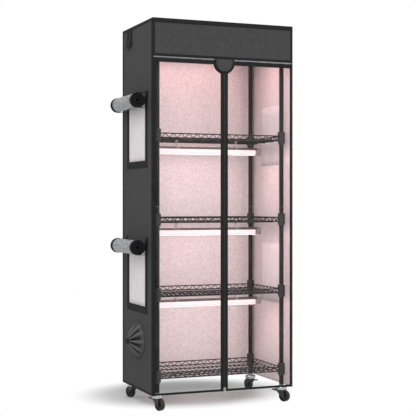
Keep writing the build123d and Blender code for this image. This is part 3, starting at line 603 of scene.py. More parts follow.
def make_glow():
    """Opal diffuser, lit from inside up to a little before its ends."""
    look = Look("lit_diffuser", "Object", srgb(240, 226, 228), 0.3, Emission_Strength=0.45)
    lit_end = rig.box("light_1_diffuser")[1].x - DARK_END
    lit = look.ranged(look.math("ABSOLUTE", look.along("X")), lit_end, lit_end + DARK_FADE, 1.0, 0.0)
    look.shade(lit, srgb(172, 158, 158), srgb(240, 226, 228), 0.0, 1.0)
    look.feed("Emission Color", look.ramp(lit, (0, 0, 0), (1.0, 0.84, 0.85)))
    look.gloss(look.noise(0.03), 0.26, 0.36)
    look.bump(look.noise(0.002), 0.00005)
    return look


fabric = make_fabric()
gathered_cloth = make_gathered_cloth_painted_light()
lining = make_lining()
turned_lining_painted_shade = make_turned_lining_painted_shade()
tape = make_tape()
thread = make_coat("thread", grey(34), 0.8, (grey(30), grey(40)), 0.004, Specular_IOR_Level=0.15)
net = make_net()
film = make_film()
black_coil = make_coil("black_coil", grey(30, 2), grey(44, 2), 0.0)
silver_coil = make_coil("silver_coil", grey(136, 2), grey(172, 2), 0.6)
paint = make_paint("black_powder_coat")
shelf_paint = make_shelf_paint()
black_plastic = make_plastic("black_plastic", grey(36), grey(46), 0.45)
# The clear clips, the grey end caps, the light housings and the LED boards are tinted pink: painted light of the pink
# bars.
clear_plastic_painted_pink_light = make_plastic("clear_plastic_painted_pink_light", srgb(196, 184, 184), srgb(214, 202, 202), 0.3)
clear_plastic_painted_pink_light.shader.inputs["Alpha"].default_value = 0.35
grey_plastic = make_plastic("grey_plastic", srgb(158, 147, 145), srgb(176, 164, 161), 0.45)
zinc = make_zinc("zinc_plate")
fork_plate = make_fork_plate()
chrome = make_metal("zip_chrome", grey(150, 2), grey(184, 2), 0.18, (4, 1, 1))
aluminium_painted_pink_light = make_metal("light_housing", srgb(104, 94, 91), srgb(130, 120, 116), 0.4, (0.1, 1, 1))
glow = make_glow()
rubber = make_coat(
    "wheel_rubber", grey(24), 0.5, (grey(20), grey(30)), 0.006, (0.01, 0.42, 0.62), (0.001, 0.0001, 0.6),
    Specular_IOR_Level=0.35,
)


def new_mesh(name, points, faces, looks):
    """A smooth mesh with its looks, and its layer of UVs to fill."""
    mesh = bpy.data.meshes.new(name)
    mesh.from_pydata(points, [], faces)
    for look in looks:
        mesh.materials.append(look.material)
    for polygon in mesh.polygons:
        polygon.use_smooth = True
    return mesh, mesh.uv_layers.new(name="UVMap")


def place_object(name, mesh, body, node, surface):
    """An object that rides on a body. It can replace a CAD node and belong to one of the part's surfaces."""
    made = bpy.data.objects.new(name, mesh)
    bpy.context.scene.collection.objects.link(made)
    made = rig.ride(made, body)
    if node:
        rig.replaces(made, node)
    if surface:
        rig.slot(made, surface)
    return made


def thicken(made, thickness, offset, other_look=0):
    solid = made.modifiers.new("thickness", "SOLIDIFY")
    solid.thickness = thickness
    solid.offset = offset
    solid.material_offset = other_look


class Shape:
    """Points, faces and UVs of one piece, gathered from several strips. slot is the number of a face's look."""

    def __init__(self):
        self.points = []
        self.faces = []
        self.uvs = []
        self.slots = []

    def face(self, corners, slot, uvs=None):
        self.faces.append(corners)
        self.uvs.append(uvs or tuple((0, 0) for _ in corners))
        self.slots.append(slot)

    def sheet(self, rows, slot=0, closed=False):
        """Quads through rows of points. In a closed sheet each row is a ring. There can be a slot for each point
        of a row. Returns the first point's number."""
        start = len(self.points)
        width = len(rows[0])
        u = distances([row[0] for row in rows])
        v = distances([*rows[0], rows[0][0]])
        for row in rows:
            self.points += row
        for i in range(len(rows) - 1):
            near = start + i * width
            far = near + width
            for j in range(width if closed else width - 1):
                k = (j + 1) % width
                uvs = ((u[i], v[j]), (u[i + 1], v[j]), (u[i + 1], v[j + 1]), (u[i], v[j + 1]))
                corners = (near + j, far + j, far + k, near + k)
                self.face(corners, slot if isinstance(slot, int) else slot[j], uvs)
        return start

    def tube(self, rows, slot=0):
        """A closed sheet with its two ends shut."""
        start = self.sheet(rows, slot, closed=True)
        width = len(rows[0])
        for first in (start, start + (len(rows) - 1) * width):
            self.face(tuple(range(first, first + width)), slot if isinstance(slot, int) else slot[-1])

    def sweep(self, frames, profile, slot=0):
        """A profile of (a, b) steps carried along frames of (origin, a, b)."""
        self.tube([[o + a * s + b * t for s, t in profile] for o, a, b in frames], slot)

    def strip(self, start, end, side, up, profile, parts=1):
        """A profile carried along a straight line."""
        self.sweep([(start.lerp(end, i / parts), side, up) for i in range(parts + 1)], profile)

    def stitch(self, start, end, up):
        """A row of thread stitches along a straight seam. The thread is the piece's second look."""
        run = end - start
        along = run.normalized()
        half = up.cross(along) * STITCH_HALF_WIDTH
        top = up * STITCH_HEIGHT
        for i in range(int(run.length / STITCH_PITCH)):
            head = start + along * (i * STITCH_PITCH)
            tail = head + along * STITCH_LENGTH
            first = len(self.points)
            self.points += [head - half, head + half, tail + half, tail - half]
            self.points += [head.lerp(tail, part) + top for part in (STITCH_SLOPE, 1 - STITCH_SLOPE)]
            for corners in ((0, 3, 5, 4), (2, 1, 4, 5), (1, 0, 4), (3, 2, 5)):
                self.face(tuple(first + c for c in corners), 1)

    def make(self, name, looks, body=ROOT, node=None, surface=None, crease=CREASE):
        """The piece as an object."""
        mesh, layer = new_mesh(name, self.points, self.faces, looks)
        for polygon, uvs, slot in zip(mesh.polygons, self.uvs, self.slots):
            polygon.material_index = slot
            for loop, uv in zip(polygon.loop_indices, uvs):
                layer.data[loop].uv = uv
        work = bmesh.new()
        work.from_mesh(mesh)
        bmesh.ops.recalc_face_normals(work, faces=work.faces)
        work.to_mesh(mesh)
        work.free()
        mesh.set_sharp_from_angle(angle=math.radians(crease))
        return place_object(name, mesh, body, node, surface)


def distances(points):
    """How far along a line each of its points is."""
    far = [0.0]
    for before, after in zip(points, points[1:]):
        far.append(far[-1] + (after - before).length)
    return far


def rounded(width, height, radius, steps=3):
    """Profile of a tape: a rectangle from (0, 0) with its upper corners rounded."""
    points = [(0, 0), (width, 0)]
    for centre, turn in ((width - radius, 0), (radius, 90)):
        points += arc((centre, height - radius), radius, turn, 90, steps)
    return points


def bead(diameter):
    """Profile of a round bead along a seam."""
    return circle((0, 0), diameter / 2, 12)


def sides(loop):
    """Pairs of neighbouring points of a closed outline."""
    return zip(loop, loop[1:] + loop[:1])


def spans(outline):
    """Lowest and highest u and v of an outline."""
    return [(min(values), max(values)) for values in zip(*outline)]


def inside(point, loop):
    """Whether a point lies within a closed outline."""
    x, y = point
    result = False
    for (x0, y0), (x1, y1) in sides(loop):
        if (y0 > y) != (y1 > y) and x < x0 + (y - y0) * (x1 - x0) / (y1 - y0):
            result = not result
    return result


def divided(loop, step):
    """An outline with points added along its long edges."""
    points = []
    for (x0, y0), (x1, y1) in sides(loop):
        count = max(1, round(math.dist((x0, y0), (x1, y1)) / step))
        points += [(x0 + (x1 - x0) * i / count, y0 + (y1 - y0) * i / count) for i in range(count)]
    return points


def rectangle(u0, u1, v0, v1):
    return [(u0, v0), (u1, v0), (u1, v1), (u0, v1)]


def mirrored(loop):
    return [(-u, v) for u, v in loop][::-1]


def arc(centre, radius, start, turn, steps):
    """Points on an arc, angles in degrees."""
    angles = [math.radians(start + turn * i / steps) for i in range(steps + 1)]
    return [(centre[0] + radius * math.cos(a), centre[1] + radius * math.sin(a)) for a in angles]


def circle(centre, radius, steps):
    return arc(centre, radius, 0, 360, steps)[:-1]


def cut_cloth(outline, holes, step):
    """Triangles over an outline with holes: points, faces, and each point's distance from the nearest edge."""
    rim = []
    edges = []
    for loop in [outline, *holes]:
        first = len(rim)
        rim += divided(loop, step)
        edges += sides(list(range(first, len(rim))))
    tree = KDTree(len(rim))
    for i, (u, v) in enumerate(rim):
        tree.insert((u, v, 0), i)
    tree.balance()
    (u0, u1), (v0, v1) = spans(outline)
    columns = round((u1 - u0) / step)
    rows = round((v1 - v0) / step)
    points = list(rim)
    for i in range(1, columns):
        for j in range(1, rows):
            u = u0 + (u1 - u0) * i / columns
            v = v0 + (v1 - v0) * j / rows
            if tree.find((u, v, 0))[2] > step / 2:
                points.append((u, v))
    made = delaunay_2d_cdt([Vector(p) for p in points], edges, [], 0, 1e-7)
    points = [tuple(p) for p in made[0]]
    faces = []
    for face in made[2]:
        middle = tuple(sum(points[i][k] for i in face) / len(face) for k in (0, 1))
        if inside(middle, outline) and not any(inside(middle, hole) for hole in holes):
            faces.append(face)
    used = sorted({i for face in faces for i in face})
    number = {old: new for new, old in enumerate(used)}
    faces = [tuple(number[i] for i in face) for face in faces]
    points = [points[i] for i in used]
    return points, faces, [tree.find((u, v, 0))[2] for u, v in points]


def make_panel(
    name, outline, place, relief, looks, body=ROOT, node=None, surface=None, holes=(), step=CLOTH_STEP,
    thick=FABRIC,
):
    """A sheet of cloth. place puts (u, v, rise) in the frame, relief gives the rise from (u, v, edge distance).
    The first look is on the side that rises, the second on the other."""
    points, faces, edge = cut_cloth(outline, list(holes), step)
    placed = [place(u, v, relief(u, v, d)) for (u, v), d in zip(points, edge)]
    mesh, layer = new_mesh(name, placed, faces, looks)
    for loop in mesh.loops:
        layer.data[loop.index].uv = points[loop.vertex_index]
    made = place_object(name, mesh, body, node, surface)
    thicken(made, thick, -1, len(looks) - 1)
    return made


def facing(y):
    """Puts a panel on a plane that looks to the front."""
    return lambda u, v, rise: Vector((u, y - rise, v))


def slack(seed, depth=SLACK, length=SLACK_LENGTH):
    """Soft unevenness of stretched cloth, inwards only, that ends at seams."""

    def relief(u, v, edge):
        fade = min(1.0, edge / SLACK_FADE)
        return -depth * fade * (0.5 + 0.5 * noise.noise((u / length, v / length, seed)))

    return relief


def flat_area(outline, holes=()):
    """Area of a cut sheet."""

    def area(loop):
        return abs(sum(x0 * y1 - x1 * y0 for (x0, y0), (x1, y1) in sides(loop))) / 2

    return area(outline) - sum(area(hole) for hole in holes)


def make_walls():
    """Roof, walls, back and valance, black outside and silver inside."""
    looks = [fabric, lining]

    def sag(u, v, edge):
        return -ROOF_SAG * (1 - (u / SIDE) ** 2) * (1 - (v / FACE) ** 2) + slack(1)(u, v, edge) / 2

    def lie(u, v, rise):
        return Vector((u, v, TOP + rise))

    roof = make_panel("roof_cloth", rectangle(-SIDE, SIDE, -FACE, FACE), lie, sag, looks, node="cover_roof")
    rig.sheet(roof, flat=(2 * SIDE, 2 * FACE), held="stretched", rests_on=["post_caps"])

    def hang(name, node, outline, place, seed, holes=()):
        """A wall that hangs from the roof."""
        made = make_panel(name, outline, place, slack(seed), looks, node=node, holes=holes)
        flat = tuple(high - low for low, high in spans(outline))
        area = {"area": flat_area(outline, holes)} if holes else {}
        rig.sheet(made, flat=flat, held="hung", rests_on=[roof], **area)

    top = TOP - FABRIC
    half = WINDOW_WIDTH / 2
    windows = [rectangle(WINDOW_Y - half, WINDOW_Y + half, z, z + WINDOW_HEIGHT) for z in SILLS.values()]
    duct_hole = circle((DUCT_Y, DUCT_Z), DUCT_HOLE, 48)
    cable_u, cable_v = (size / 2 for size in CABLE_HOLE)
    cable_hole = rectangle(CABLE_Y - cable_u, CABLE_Y + cable_u, CABLE_Z - cable_v, CABLE_Z + cable_v)
    left_holes = [mirrored(hole) for hole in [*windows, duct_hole, cable_hole]]
    side = rectangle(-FACE, FACE, HEM, top)
    back = rectangle(FABRIC - SIDE, SIDE - FABRIC, HEM, top)
    valance = rectangle(FABRIC - SIDE, SIDE - FABRIC, VALANCE_BOTTOM, top)
    hang(
        "left_wall_cloth", "cover_left", mirrored(side), lambda u, v, rise: Vector((-SIDE - rise, -u, v)), 2,
        left_holes,
    )
    hang("right_wall_cloth", "cover_right", side, lambda u, v, rise: Vector((SIDE + rise, u, v)), 3, windows)
    hang("back_wall_cloth", "cover_back", back, lambda u, v, rise: Vector((-u, FACE + rise, v)), 4)
    hang("valance_cloth", "cover_valance", valance, facing(-FACE), 5)


def edge_tape(shape, start, end, a, b, leg_a, leg_b, thick=TAPE):
    """Tape folded over an edge of the cover: a and b point from the edge along its two faces."""
    bend = -TAPE_ROUND * thick
    profile = [(leg_a, 0), (leg_a, -thick), (0, -thick), (bend, bend), (-thick, 0), (-thick, leg_b)]
    profile += [(0, leg_b), (0, 0)]
    shape.strip(start, end, a, b, profile)
    for leg, along, out in ((leg_a, a, -b), (leg_b, b, -a)):
        if leg > 2 * STITCH_INSET:
            seam = along * (leg - STITCH_INSET) + out * thick
            shape.stitch(start + seam, end + seam, out)


def make_bindings():
    """Tape over every edge of the cover, with its stitching, and the valance's hem."""
    shape = Shape()

    def corner(x, y, z):
        return Vector((x * SIDE, y * FACE, z))

    for x in (-1, 1):
        inwards = -x * X
        for y in (-1, 1):
            foot, step, head = (corner(x, y, z) for z in (HEM, VALANCE_BOTTOM, TOP))
            lower, upper = (DOOR_POST_TAPE, VALANCE_SIDE_TAPE) if y < 0 else (WALL_EDGE_TAPE, WALL_EDGE_TAPE)
            edge_tape(shape, foot, step, -y * Y, inwards, WALL_EDGE_TAPE, lower, UNDER_TAPE)
            edge_tape(shape, step, head, -y * Y, inwards, WALL_EDGE_TAPE, upper, UNDER_TAPE)
        roof = (corner(x, -1, TOP), corner(x, 1, TOP))
        edge_tape(shape, *roof, -Z, inwards, ROOF_SIDE_TAPE, ROOF_SIDE_TAPE, MIDDLE_TAPE)
        hem = (corner(x, -1, HEM), corner(x, 1, HEM))
        edge_tape(shape, *hem, Z, inwards, TAPE_WIDTH, FABRIC, MIDDLE_TAPE)
    for y, leg in ((-1, ROOF_FRONT_TAPE), (1, WALL_EDGE_TAPE)):
        edge_tape(shape, corner(-1, y, TOP), corner(1, y, TOP), -Z, -y * Y, leg, ROOF_SIDE_TAPE)
    edge_tape(shape, corner(-1, 1, HEM), corner(1, 1, HEM), Z, -Y, TAPE_WIDTH, FABRIC)
    hem = [Vector((x * (SIDE - DOOR_POST_TAPE), -FACE, VALANCE_BOTTOM)) for x in (-1, 1)]
    shape.strip(*hem, Z, -Y, rounded(VALANCE_HEM, TAPE, TAPE / 2))
    seam = Z * (VALANCE_HEM - STITCH_INSET / 2) - Y * TAPE
    shape.stitch(hem[0] + seam, hem[1] + seam, -Y)
    shape.make("cover_binding_tape", [tape, thread], node="cover_bindings", surface="binding_tape")


def make_border(shape, x, sill):
    """Mitred tape frame round a window, on the outer face of a side wall."""
    out = X if x > 0 else -X
    half_y = WINDOW_WIDTH / 2
    half_z = WINDOW_HEIGHT / 2
    centre = Vector((x, WINDOW_Y, sill + half_z))
    signs = [(-1, -1), (1, -1), (1, 1), (-1, 1)]
    corners = [centre + Y * (a * half_y) + Z * (b * half_z) for a, b in signs]
    mitres = [Y * a + Z * b for a, b in signs]
    outwards = [-Z, Y, Z, -Y]
    shoulder = TAPE_ROUND * BORDER_RISE
    profile = [(0, 0), (BORDER_BEVEL, shoulder), (BORDER / 2, BORDER_RISE), (BORDER - BORDER_BEVEL, shoulder)]
    profile.append((BORDER, 0))
    rows = []
    for i in range(4):
        after = corners[(i + 1) % 4]
        rows.append([corners[i] + mitres[i] * s + out * t for s, t in profile])
        for part in (0.1, 0.5, 0.9):
            rows.append([corners[i].lerp(after, part) + outwards[i] * s + out * t for s, t in profile])
        for inset in (2 * STITCH_INSET, BORDER - 2 * STITCH_INSET):
            seam = outwards[i] * inset + out * BORDER_RISE
            along = (after - corners[i]).normalized() * inset
            shape.stitch(corners[i] - along + seam, after + along + seam, out)
    rows.append(rows[0])
    shape.sheet(rows)


def make_windows():
    """Window nets and their tape frames on both walls."""
    borders = Shape()
    half = WINDOW_WIDTH / 2 + NET_LAP
    height = WINDOW_HEIGHT + 2 * NET_LAP
    columns = 24
    parts = 8
    for side, name in ((-1, "left"), (1, "right")):
        shape = Shape()
        x = side * (SIDE - FABRIC - NET / 2)
        for sill in SILLS.values():
            make_border(borders, side * SIDE, sill)
            rows = []
            for i in range(columns + 1):
                y = WINDOW_Y - half + 2 * half * i / columns
                waver = math.sin(NET_WAVES * i / columns * math.pi) * math.sin(math.pi * i / columns)
                bow = x - side * abs(NET_WAVER * waver)
                rows.append([Vector((bow, y, sill - NET_LAP + height * j / parts)) for j in range(parts + 1)])
            shape.sheet(rows)
        node = f"{name}_window_meshes"
        made = shape.make(f"{name}_window_net", [net], node=node, surface="window_mesh")
        thicken(made, NET, 0)
        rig.sheet(made, flat=(4 * half, height), held="stretched", rests_on=[f"{name}_wall_cloth"])
    borders.make("window_border_tape", [tape, thread], node="window_borders", surface="binding_tape")


def roll_line():
    """Middle of a rolled flap across its length: (out, up) from the wall and the roll's axis, the direction that
    its lining faces, and whether it is wound there. It hangs down behind the roll and is wound outwards."""
    bend = ROLL_RADIUS + ROLL_BEND
    slope = math.atan2(bend, ROLL_OUT) + math.asin(ROLL_RADIUS / math.hypot(bend, ROLL_OUT))
    line = []

    def add(out, up, angle, wound):
        line.append(((out, up), (math.cos(angle), math.sin(angle)), wound))

    middle = FLAP / 2
    lead = 1.5 * math.pi - slope
    foot_out = ROLL_OUT + (ROLL_RADIUS - middle) * math.cos(lead)
    foot_up = (ROLL_RADIUS - middle) * math.sin(lead)
    add(middle, bend + ROLL_HEM, math.pi, False)
    add(middle, bend + ROLL_HEM / 3, math.pi, False)
    for part in (0.04, 0.3, 0.6, 0.9):
        add(middle + (foot_out - middle) * part, bend + (foot_up - bend) * part, lead, False)
    for turn in range(ROLL_HALF_TURNS + 1):
        radius = ROLL_RADIUS - middle - turn * ROLL_PITCH / 2
        rise = (turn % 2) * ROLL_PITCH / 2
        start = lead if turn == 0 else (0.5 if turn % 2 else 1.5) * math.pi
        sweep = math.pi + (slope if turn == 0 else 0)
        steps = round(sweep / math.pi * ROLL_STEPS)
        for i in range(steps):
            angle = start + sweep * i / steps
            add(ROLL_OUT + radius * math.cos(angle), rise + radius * math.sin(angle), angle, True)
    return line


def roll_rows(axis, places, thickness, wound_thickness, uneven):
    """Rings of a rolled sheet at places along Y: first along its lining, then back along its cloth."""
    line = roll_line()
    rows = []
    for y in places:
        ring = []
        for way in (1, -1):
            for (out, up), normal, wound in line[::way]:
                rough = uneven * noise.noise([a * b for a, b in zip((out, up, y), ROLL_WAVES)])
                lift = way * (wound_thickness if wound else thickness) / 2 + rough
                ring.append(axis + Vector((-out - normal[0] * lift, y, up + normal[1] * lift)))
        rows.append(ring)
    return rows


def make_rolls():
    """Rolled-up flaps on the left wall: silver lining outwards, wide black edges, two tie straps each."""
    straps = Shape()
    half = FLAP_WIDTH / 2
    inner = half - FLAP_EDGE
    outer = half - FLAP_TAPE
    steps = 30
    places = [-inner + 2 * inner * i / steps for i in range(steps + 1)]
    length = distances([Vector(point[0]) for point in roll_line()])[-1]
    for name, sill in SILLS.items():
        seam = sill + WINDOW_HEIGHT + BORDER
        axis = Vector((-SIDE, WINDOW_Y, seam + FLAP + SEAT_GAP - ROLL_RADIUS))
        shape = Shape()
        rows = roll_rows(axis, places, FLAP, FLAP, ROLL_UNEVEN)
        lined = len(rows[0]) // 2
        shape.tube(rows, [0] * lined + [1] * lined)
        for end in (-1, 1):
            shape.tube(roll_rows(axis, [end * inner, end * outer], FLAP + TAPE, FLAP + TAPE, 0), 2)
            band = [end * outer, end * (half - TAPE), end * half]
            shape.tube(roll_rows(axis, band, FLAP + TAPE, ROLL_BAND, 0), 2)
            add_strap(straps, axis + Y * (end * (half - STRAP_WIDTH / 2)))
        node = f"left_flap_roll_{name}"
        made = shape.make(f"{node}_cloth", [turned_lining_painted_shade, fabric, tape], node=node, surface="silver_lining")
        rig.sheet(made, flat=(FLAP_WIDTH, length), held="folded", rests_on=["left_wall_cloth"])
    straps.make("flap_tie_straps", [tape, thread], node="flap_ties", surface="binding_tape")


def add_strap(shape, axis):
    """Strap from the wall over a roll, round it and back to the wall below."""
    radius = ROLL_RADIUS + 2 * SEAT_GAP
    line = [(STRAP_START, radius, 0, 1)]
    line += [(ROLL_OUT + radius * a, radius * b, a, b) for a, b in arc((0, 0), 1, 90, -180, STRAP_STEPS)]
    line.append((TAPE, -radius, 0, -1))
    half = STRAP_WIDTH / 2
    frames = [(axis + Vector((-out, -half, up)), Y, Vector((-a, 0, b))) for out, up, a, b in line]
    shape.sweep(frames, rounded(STRAP_WIDTH, STRAP, STRAP / 3))


def add_rim_tape(shape, points, normal, inwards):
    """Flat tape over both faces of a cloth's edge, along a line of points."""
    profile = [(-TAPE, -TAPE), (TAPE_WIDTH, -TAPE), (TAPE_WIDTH, TAPE), (-TAPE, TAPE)]
    shape.sweep([(point, inwards, normal) for point in points], profile)
    seam = inwards * (TAPE_WIDTH - STITCH_INSET) + normal * TAPE
    for here, there in zip(points, points[1:]):
        if (there - here).length > 3 * STITCH_PITCH:
            shape.stitch(here + seam, there + seam, normal)


def make_flap(node, hinge, width, length, turn, curl, outer):
    """A flap that hangs from its seam bead, silver behind, with tape round three edges. turn swings it out."""
    swing = Matrix.Rotation(turn, 3, "Y")
    outwards = 1 if hinge.x > 0 else -1

    def place(u, v, rise):
        bow = curl * (v / length) ** 2
        return hinge + swing @ Vector((outwards * (FLAP / 2 + rise + bow), outwards * u, v))

    outline = rectangle(-width / 2, width / 2, -length, 0)
    made = make_panel(
        f"{node}_cloth", outline, place, slack(hinge.z, FLAP_SLACK), [outer, lining], node, node,
        "cover_fabric", step=FLAP_STEP, thick=FLAP,
    )
    shape = Shape()
    shape.strip(hinge - Y * (width / 2), hinge + Y * (width / 2), X, Z, bead(SEAM_BEAD))
    rows = 12
    normal = swing @ (X * outwards)
    for end in (-1, 1):
        points = [place(end * width / 2, -length * i / rows, -FLAP / 2) for i in range(rows + 1)]
        add_rim_tape(shape, points, normal, swing @ (Y * (-end * outwards)))
    bottom = [place(end * width / 2, -length, -FLAP / 2) for end in (-1, 1)]
    add_rim_tape(shape, bottom, normal, swing @ Z)
    edge = shape.make(f"{node}_tape", [tape, thread], node, surface="binding_tape")
    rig.sheet(made, flat=(width, length), held="hung", rests_on=[edge], with_pieces=[edge])


def make_flaps():
    for name, sill in SILLS.items():
        node = f"right_flap_{name}"
        low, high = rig.box(node)
        hinge = Vector(((low.x + high.x) / 2, WINDOW_Y, sill + WINDOW_HEIGHT + BORDER))
        make_flap(node, hinge, FLAP_WIDTH, FLAP_LENGTH, 0, 0.0, fabric)
    make_flap("cable_flap", CABLE_HINGE, *CABLE_FLAP, CABLE_TILT, CABLE_CURL, tape)


def make_duct():
    """Duct sleeve drawn together: folds run from the sewn flange into a gathered neck with a small frill."""
    centre = Vector((-SIDE, DUCT_Y, DUCT_Z))

    def spoke(out, radius, turn):
        return centre + Vector((-out, radius * math.cos(turn), radius * math.sin(turn)))

    around = DUCT_FOLD_STEPS * DUCT_FOLDS
    turns = [2 * math.pi * i / around for i in range(around + 1)]
    uneven = [noise.noise((math.cos(turn) * 2, math.sin(turn) * 2, 3.0)) for turn in turns]
    phases = [DUCT_FOLDS * turn + DUCT_WANDER * shift for turn, shift in zip(turns, uneven)]
    rows = []
    for reach, radius, depth in DUCT_STATIONS:
        ring = []
        for i in range(around):
            crease = 1 - abs(math.sin(phases[i] / 2)) ** DUCT_SHARPNESS
            ring.append(spoke(reach, radius - depth * crease * (1 + DUCT_UNEVEN * uneven[i]), turns[i]))
        rows.append(ring)
    shape = Shape()
    shape.sheet(rows, closed=True)
    # V follows the fold phase, so that the cloth's painted crease shade and ridge highlight fall on the folds.
    along = [DUCT_FOLD_WIDTH * phase / (2 * math.pi) for phase in phases]
    for number, uvs in enumerate(shape.uvs):
        near, far = along[number % around : number % around + 2]
        shape.uvs[number] = ((uvs[0][0], near), (uvs[1][0], near), (uvs[2][0], far), (uvs[3][0], far))
    made = shape.make(
        "duct_sleeve_cloth", [gathered_cloth], node="duct_sleeve", surface="cover_fabric", crease=180
    )

    trim = Shape()
    turns = [math.radians(360 * i / DUCT_TRIM_STEPS) for i in range(DUCT_TRIM_STEPS + 1)]
    flange = [(DUCT_HOLE, 0), (DUCT_FLANGE, 0), (DUCT_FLANGE, TAPE), (DUCT_HOLE, TAPE)]
    trim.sheet([[spoke(t, s, a) for s, t in flange] for a in turns], 2, closed=True)
    seam = DUCT_FLANGE - STITCH_INSET
    for a, b in zip(turns, turns[1:]):
        trim.stitch(spoke(TAPE, seam, a), spoke(TAPE, seam, b), -X)
    neck = DUCT_REACH - DUCT_BAND_BACK
    band = circle((DUCT_NECK + DUCT_BAND_GAP, 0), DUCT_BAND, 6)
    trim.sheet([[spoke(neck + t, s, a) for s, t in band] for a in turns], closed=True)
    edge = trim.make("duct_trim", [tape, thread, fabric], surface="binding_tape")
    flat = (2 * math.pi * DUCT_RADIUS, DUCT_LENGTH)
    area = DUCT_GATHERED_SHARE * flat[0] * flat[1]
    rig.sheet(made, flat=flat, area=area, held="gathered", rests_on=[edge], with_pieces=[edge])


def leaf_outline(side):
    """Outline of a film leaf in (x, z), cut clear of the tab and, on the right, of the parked slider."""
    start = -math.degrees(math.acos(LEAF_GAP / NOTCH))
    notch = arc((0, TAB_CENTRE), NOTCH, start, -start, 18)
    points = [(LEAF_OUTER, LEAF_BOTTOM), (LEAF_OUTER, LEAF_TOP), (NOTCH, LEAF_TOP), *notch[::-1]]
    if side > 0:
        points += [(LEAF_GAP, PARK[1]), (PARK[0], PARK[1]), (PARK[0], LEAF_BOTTOM)]
    else:
        points.append((LEAF_GAP, LEAF_BOTTOM))
    return [(side * x, z) for x, z in points]


def add_teeth(shape, start, end, across, out, width, slot):
    """Teeth of one half of a zip: rounded bars across the line."""
    run = end - start
    along = run.normalized()
    section = [along * (s * TOOTH_PITCH) + out * (t * TOOTH_HEIGHT) for s, t in TOOTH_PROFILE]
    for i in range(int(run.length / TOOTH_PITCH)):
        root = start + along * ((i + 0.5) * TOOTH_PITCH)
        shape.tube([[root + p for p in section], [root + across * width + p for p in section]], slot)


def make_leaf(side, name):
    """One door leaf: film, tape round it and half of the zip."""
    body = f"door_{name}"
    outline = leaf_outline(side)

    def ripple(u, v, edge):
        fade = min(1.0, edge / SLACK_FADE)
        where = (u / FILM_RIPPLE_WIDTH, v / FILM_RIPPLE_HEIGHT, 6.0 + side)
        return -FILM_RIPPLE * fade * (0.5 + 0.5 * noise.noise(where))

    sheet = make_panel(
        f"{name}_door_sheet", outline, facing(FILM_FRONT), ripple, [film], body, f"{body}_film", "clear_film",
        step=FILM_STEP, thick=FILM_BACK - FILM_FRONT,
    )

    shape = Shape()
    zip_x = LEAF_GAP + ZIP_TAPE
    zip_top = TAB_CENTRE - math.sqrt(NOTCH**2 - ZIP_TAPE**2) - TAB_CLEARANCE
    zip_bottom = LEAF_BOTTOM if side < 0 else PARK[1]
    soft = LEAF_TAPE / 3

    def at(x, z):
        return Vector((side * x, FILM_FRONT, z))

    def band(start, end, across, width):
        shape.strip(start, end, across, -Y, rounded(width, LEAF_TAPE, soft), parts=8)
        for inset in (STITCH_INSET, width - STITCH_INSET):
            seam = across * inset - Y * LEAF_TAPE
            shape.stitch(start + seam, end + seam, -Y)

    inwards = -side * X
    band(at(LEAF_OUTER, LEAF_BOTTOM), at(LEAF_OUTER, LEAF_TOP), inwards, JAMB)
    band(at(LEAF_OUTER - JAMB, LEAF_TOP), at(NOTCH, LEAF_TOP), -Z, TOP_BAND)
    band(at(LEAF_OUTER - JAMB, LEAF_BOTTOM), at(zip_x, LEAF_BOTTOM), Z, BOTTOM_BAND)
    band(at(zip_x, zip_bottom), at(zip_x, zip_top), inwards, ZIP_TAPE)
    if side > 0:
        band(at(zip_x, LEAF_BOTTOM), at(zip_x, PARK[1]), inwards, zip_x - PARK[0])
    rim = []
    for x, z in arc((0, 0), 1, -NOTCH_TURN, NOTCH_TURN, 14):
        rim.append((at(NOTCH * x, TAB_CENTRE + NOTCH * z), Vector((side * x, 0, z)), -Y))
    shape.sweep(rim, rounded(NOTCH_RIM, NOTCH_RISE, soft))
    hinge = at(LEAF_OUTER, LEAF_BOTTOM) - Y * (LEAF_TAPE / 2)
    shape.strip(hinge, hinge + Z * (LEAF_TOP - LEAF_BOTTOM), X, Y, bead(LEAF_TAPE))
    offset = TOOTH_PITCH / 2 if side > 0 else 0
    coil_foot = at(LEAF_GAP, zip_bottom + offset) - Y * LEAF_TAPE
    coil_head = at(LEAF_GAP, zip_top - TOOTH_PITCH) - Y * LEAF_TAPE
    add_teeth(shape, coil_foot, coil_head, side * X, -Y, ZIP_COIL, 2)
    looks = [tape, thread, black_coil]
    edge = shape.make(f"{name}_door_tape", looks, body, f"{body}_frame", "binding_tape")
    flat = (LEAF_OUTER, LEAF_TOP - LEAF_BOTTOM)
    area = min(flat_area(outline), flat[0] * flat[1])
    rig.sheet(sheet, flat=flat, area=area, held="hung", rests_on=["top_zip_tape"], with_pieces=[edge])


def make_top_zip():
    """Zip between the valance and the leaves: dark tape with a silver coil."""
    low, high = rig.box("top_zip")
    shape = Shape()
    height = high.z - low.z
    start = Vector((low.x, high.y, low.z))
    end = Vector((high.x, high.y, low.z))
    shape.strip(start, end, Z, -Y, rounded(height, high.y + FACE, TOP_ZIP_EDGE), parts=4)
    foot = low.z + (height - TOP_COIL) / 2
    for rise, across, offset in ((0, Z, 0), (TOP_COIL, -Z, TOOTH_PITCH / 2)):
        begin = Vector((low.x + offset, -FACE, foot + rise))
        finish = Vector((high.x, -FACE, foot + rise))
        add_teeth(shape, begin, finish, across, -Y, TOP_TOOTH, 1)
    shape.make("top_zip_tape", [tape, silver_coil], node="top_zip", surface="top_zip_coil")


def half_round(radius, top):
    """Outline of a half-round piece below the valance, with its curve last, and its flat measures."""
    outline = [(radius, top), (-radius, top), *arc((0, TAB_CENTRE), radius, 180, 180, 40)]
    return outline, {"flat": (2 * radius, top - TAB_CENTRE + radius), "area": flat_area(outline)}


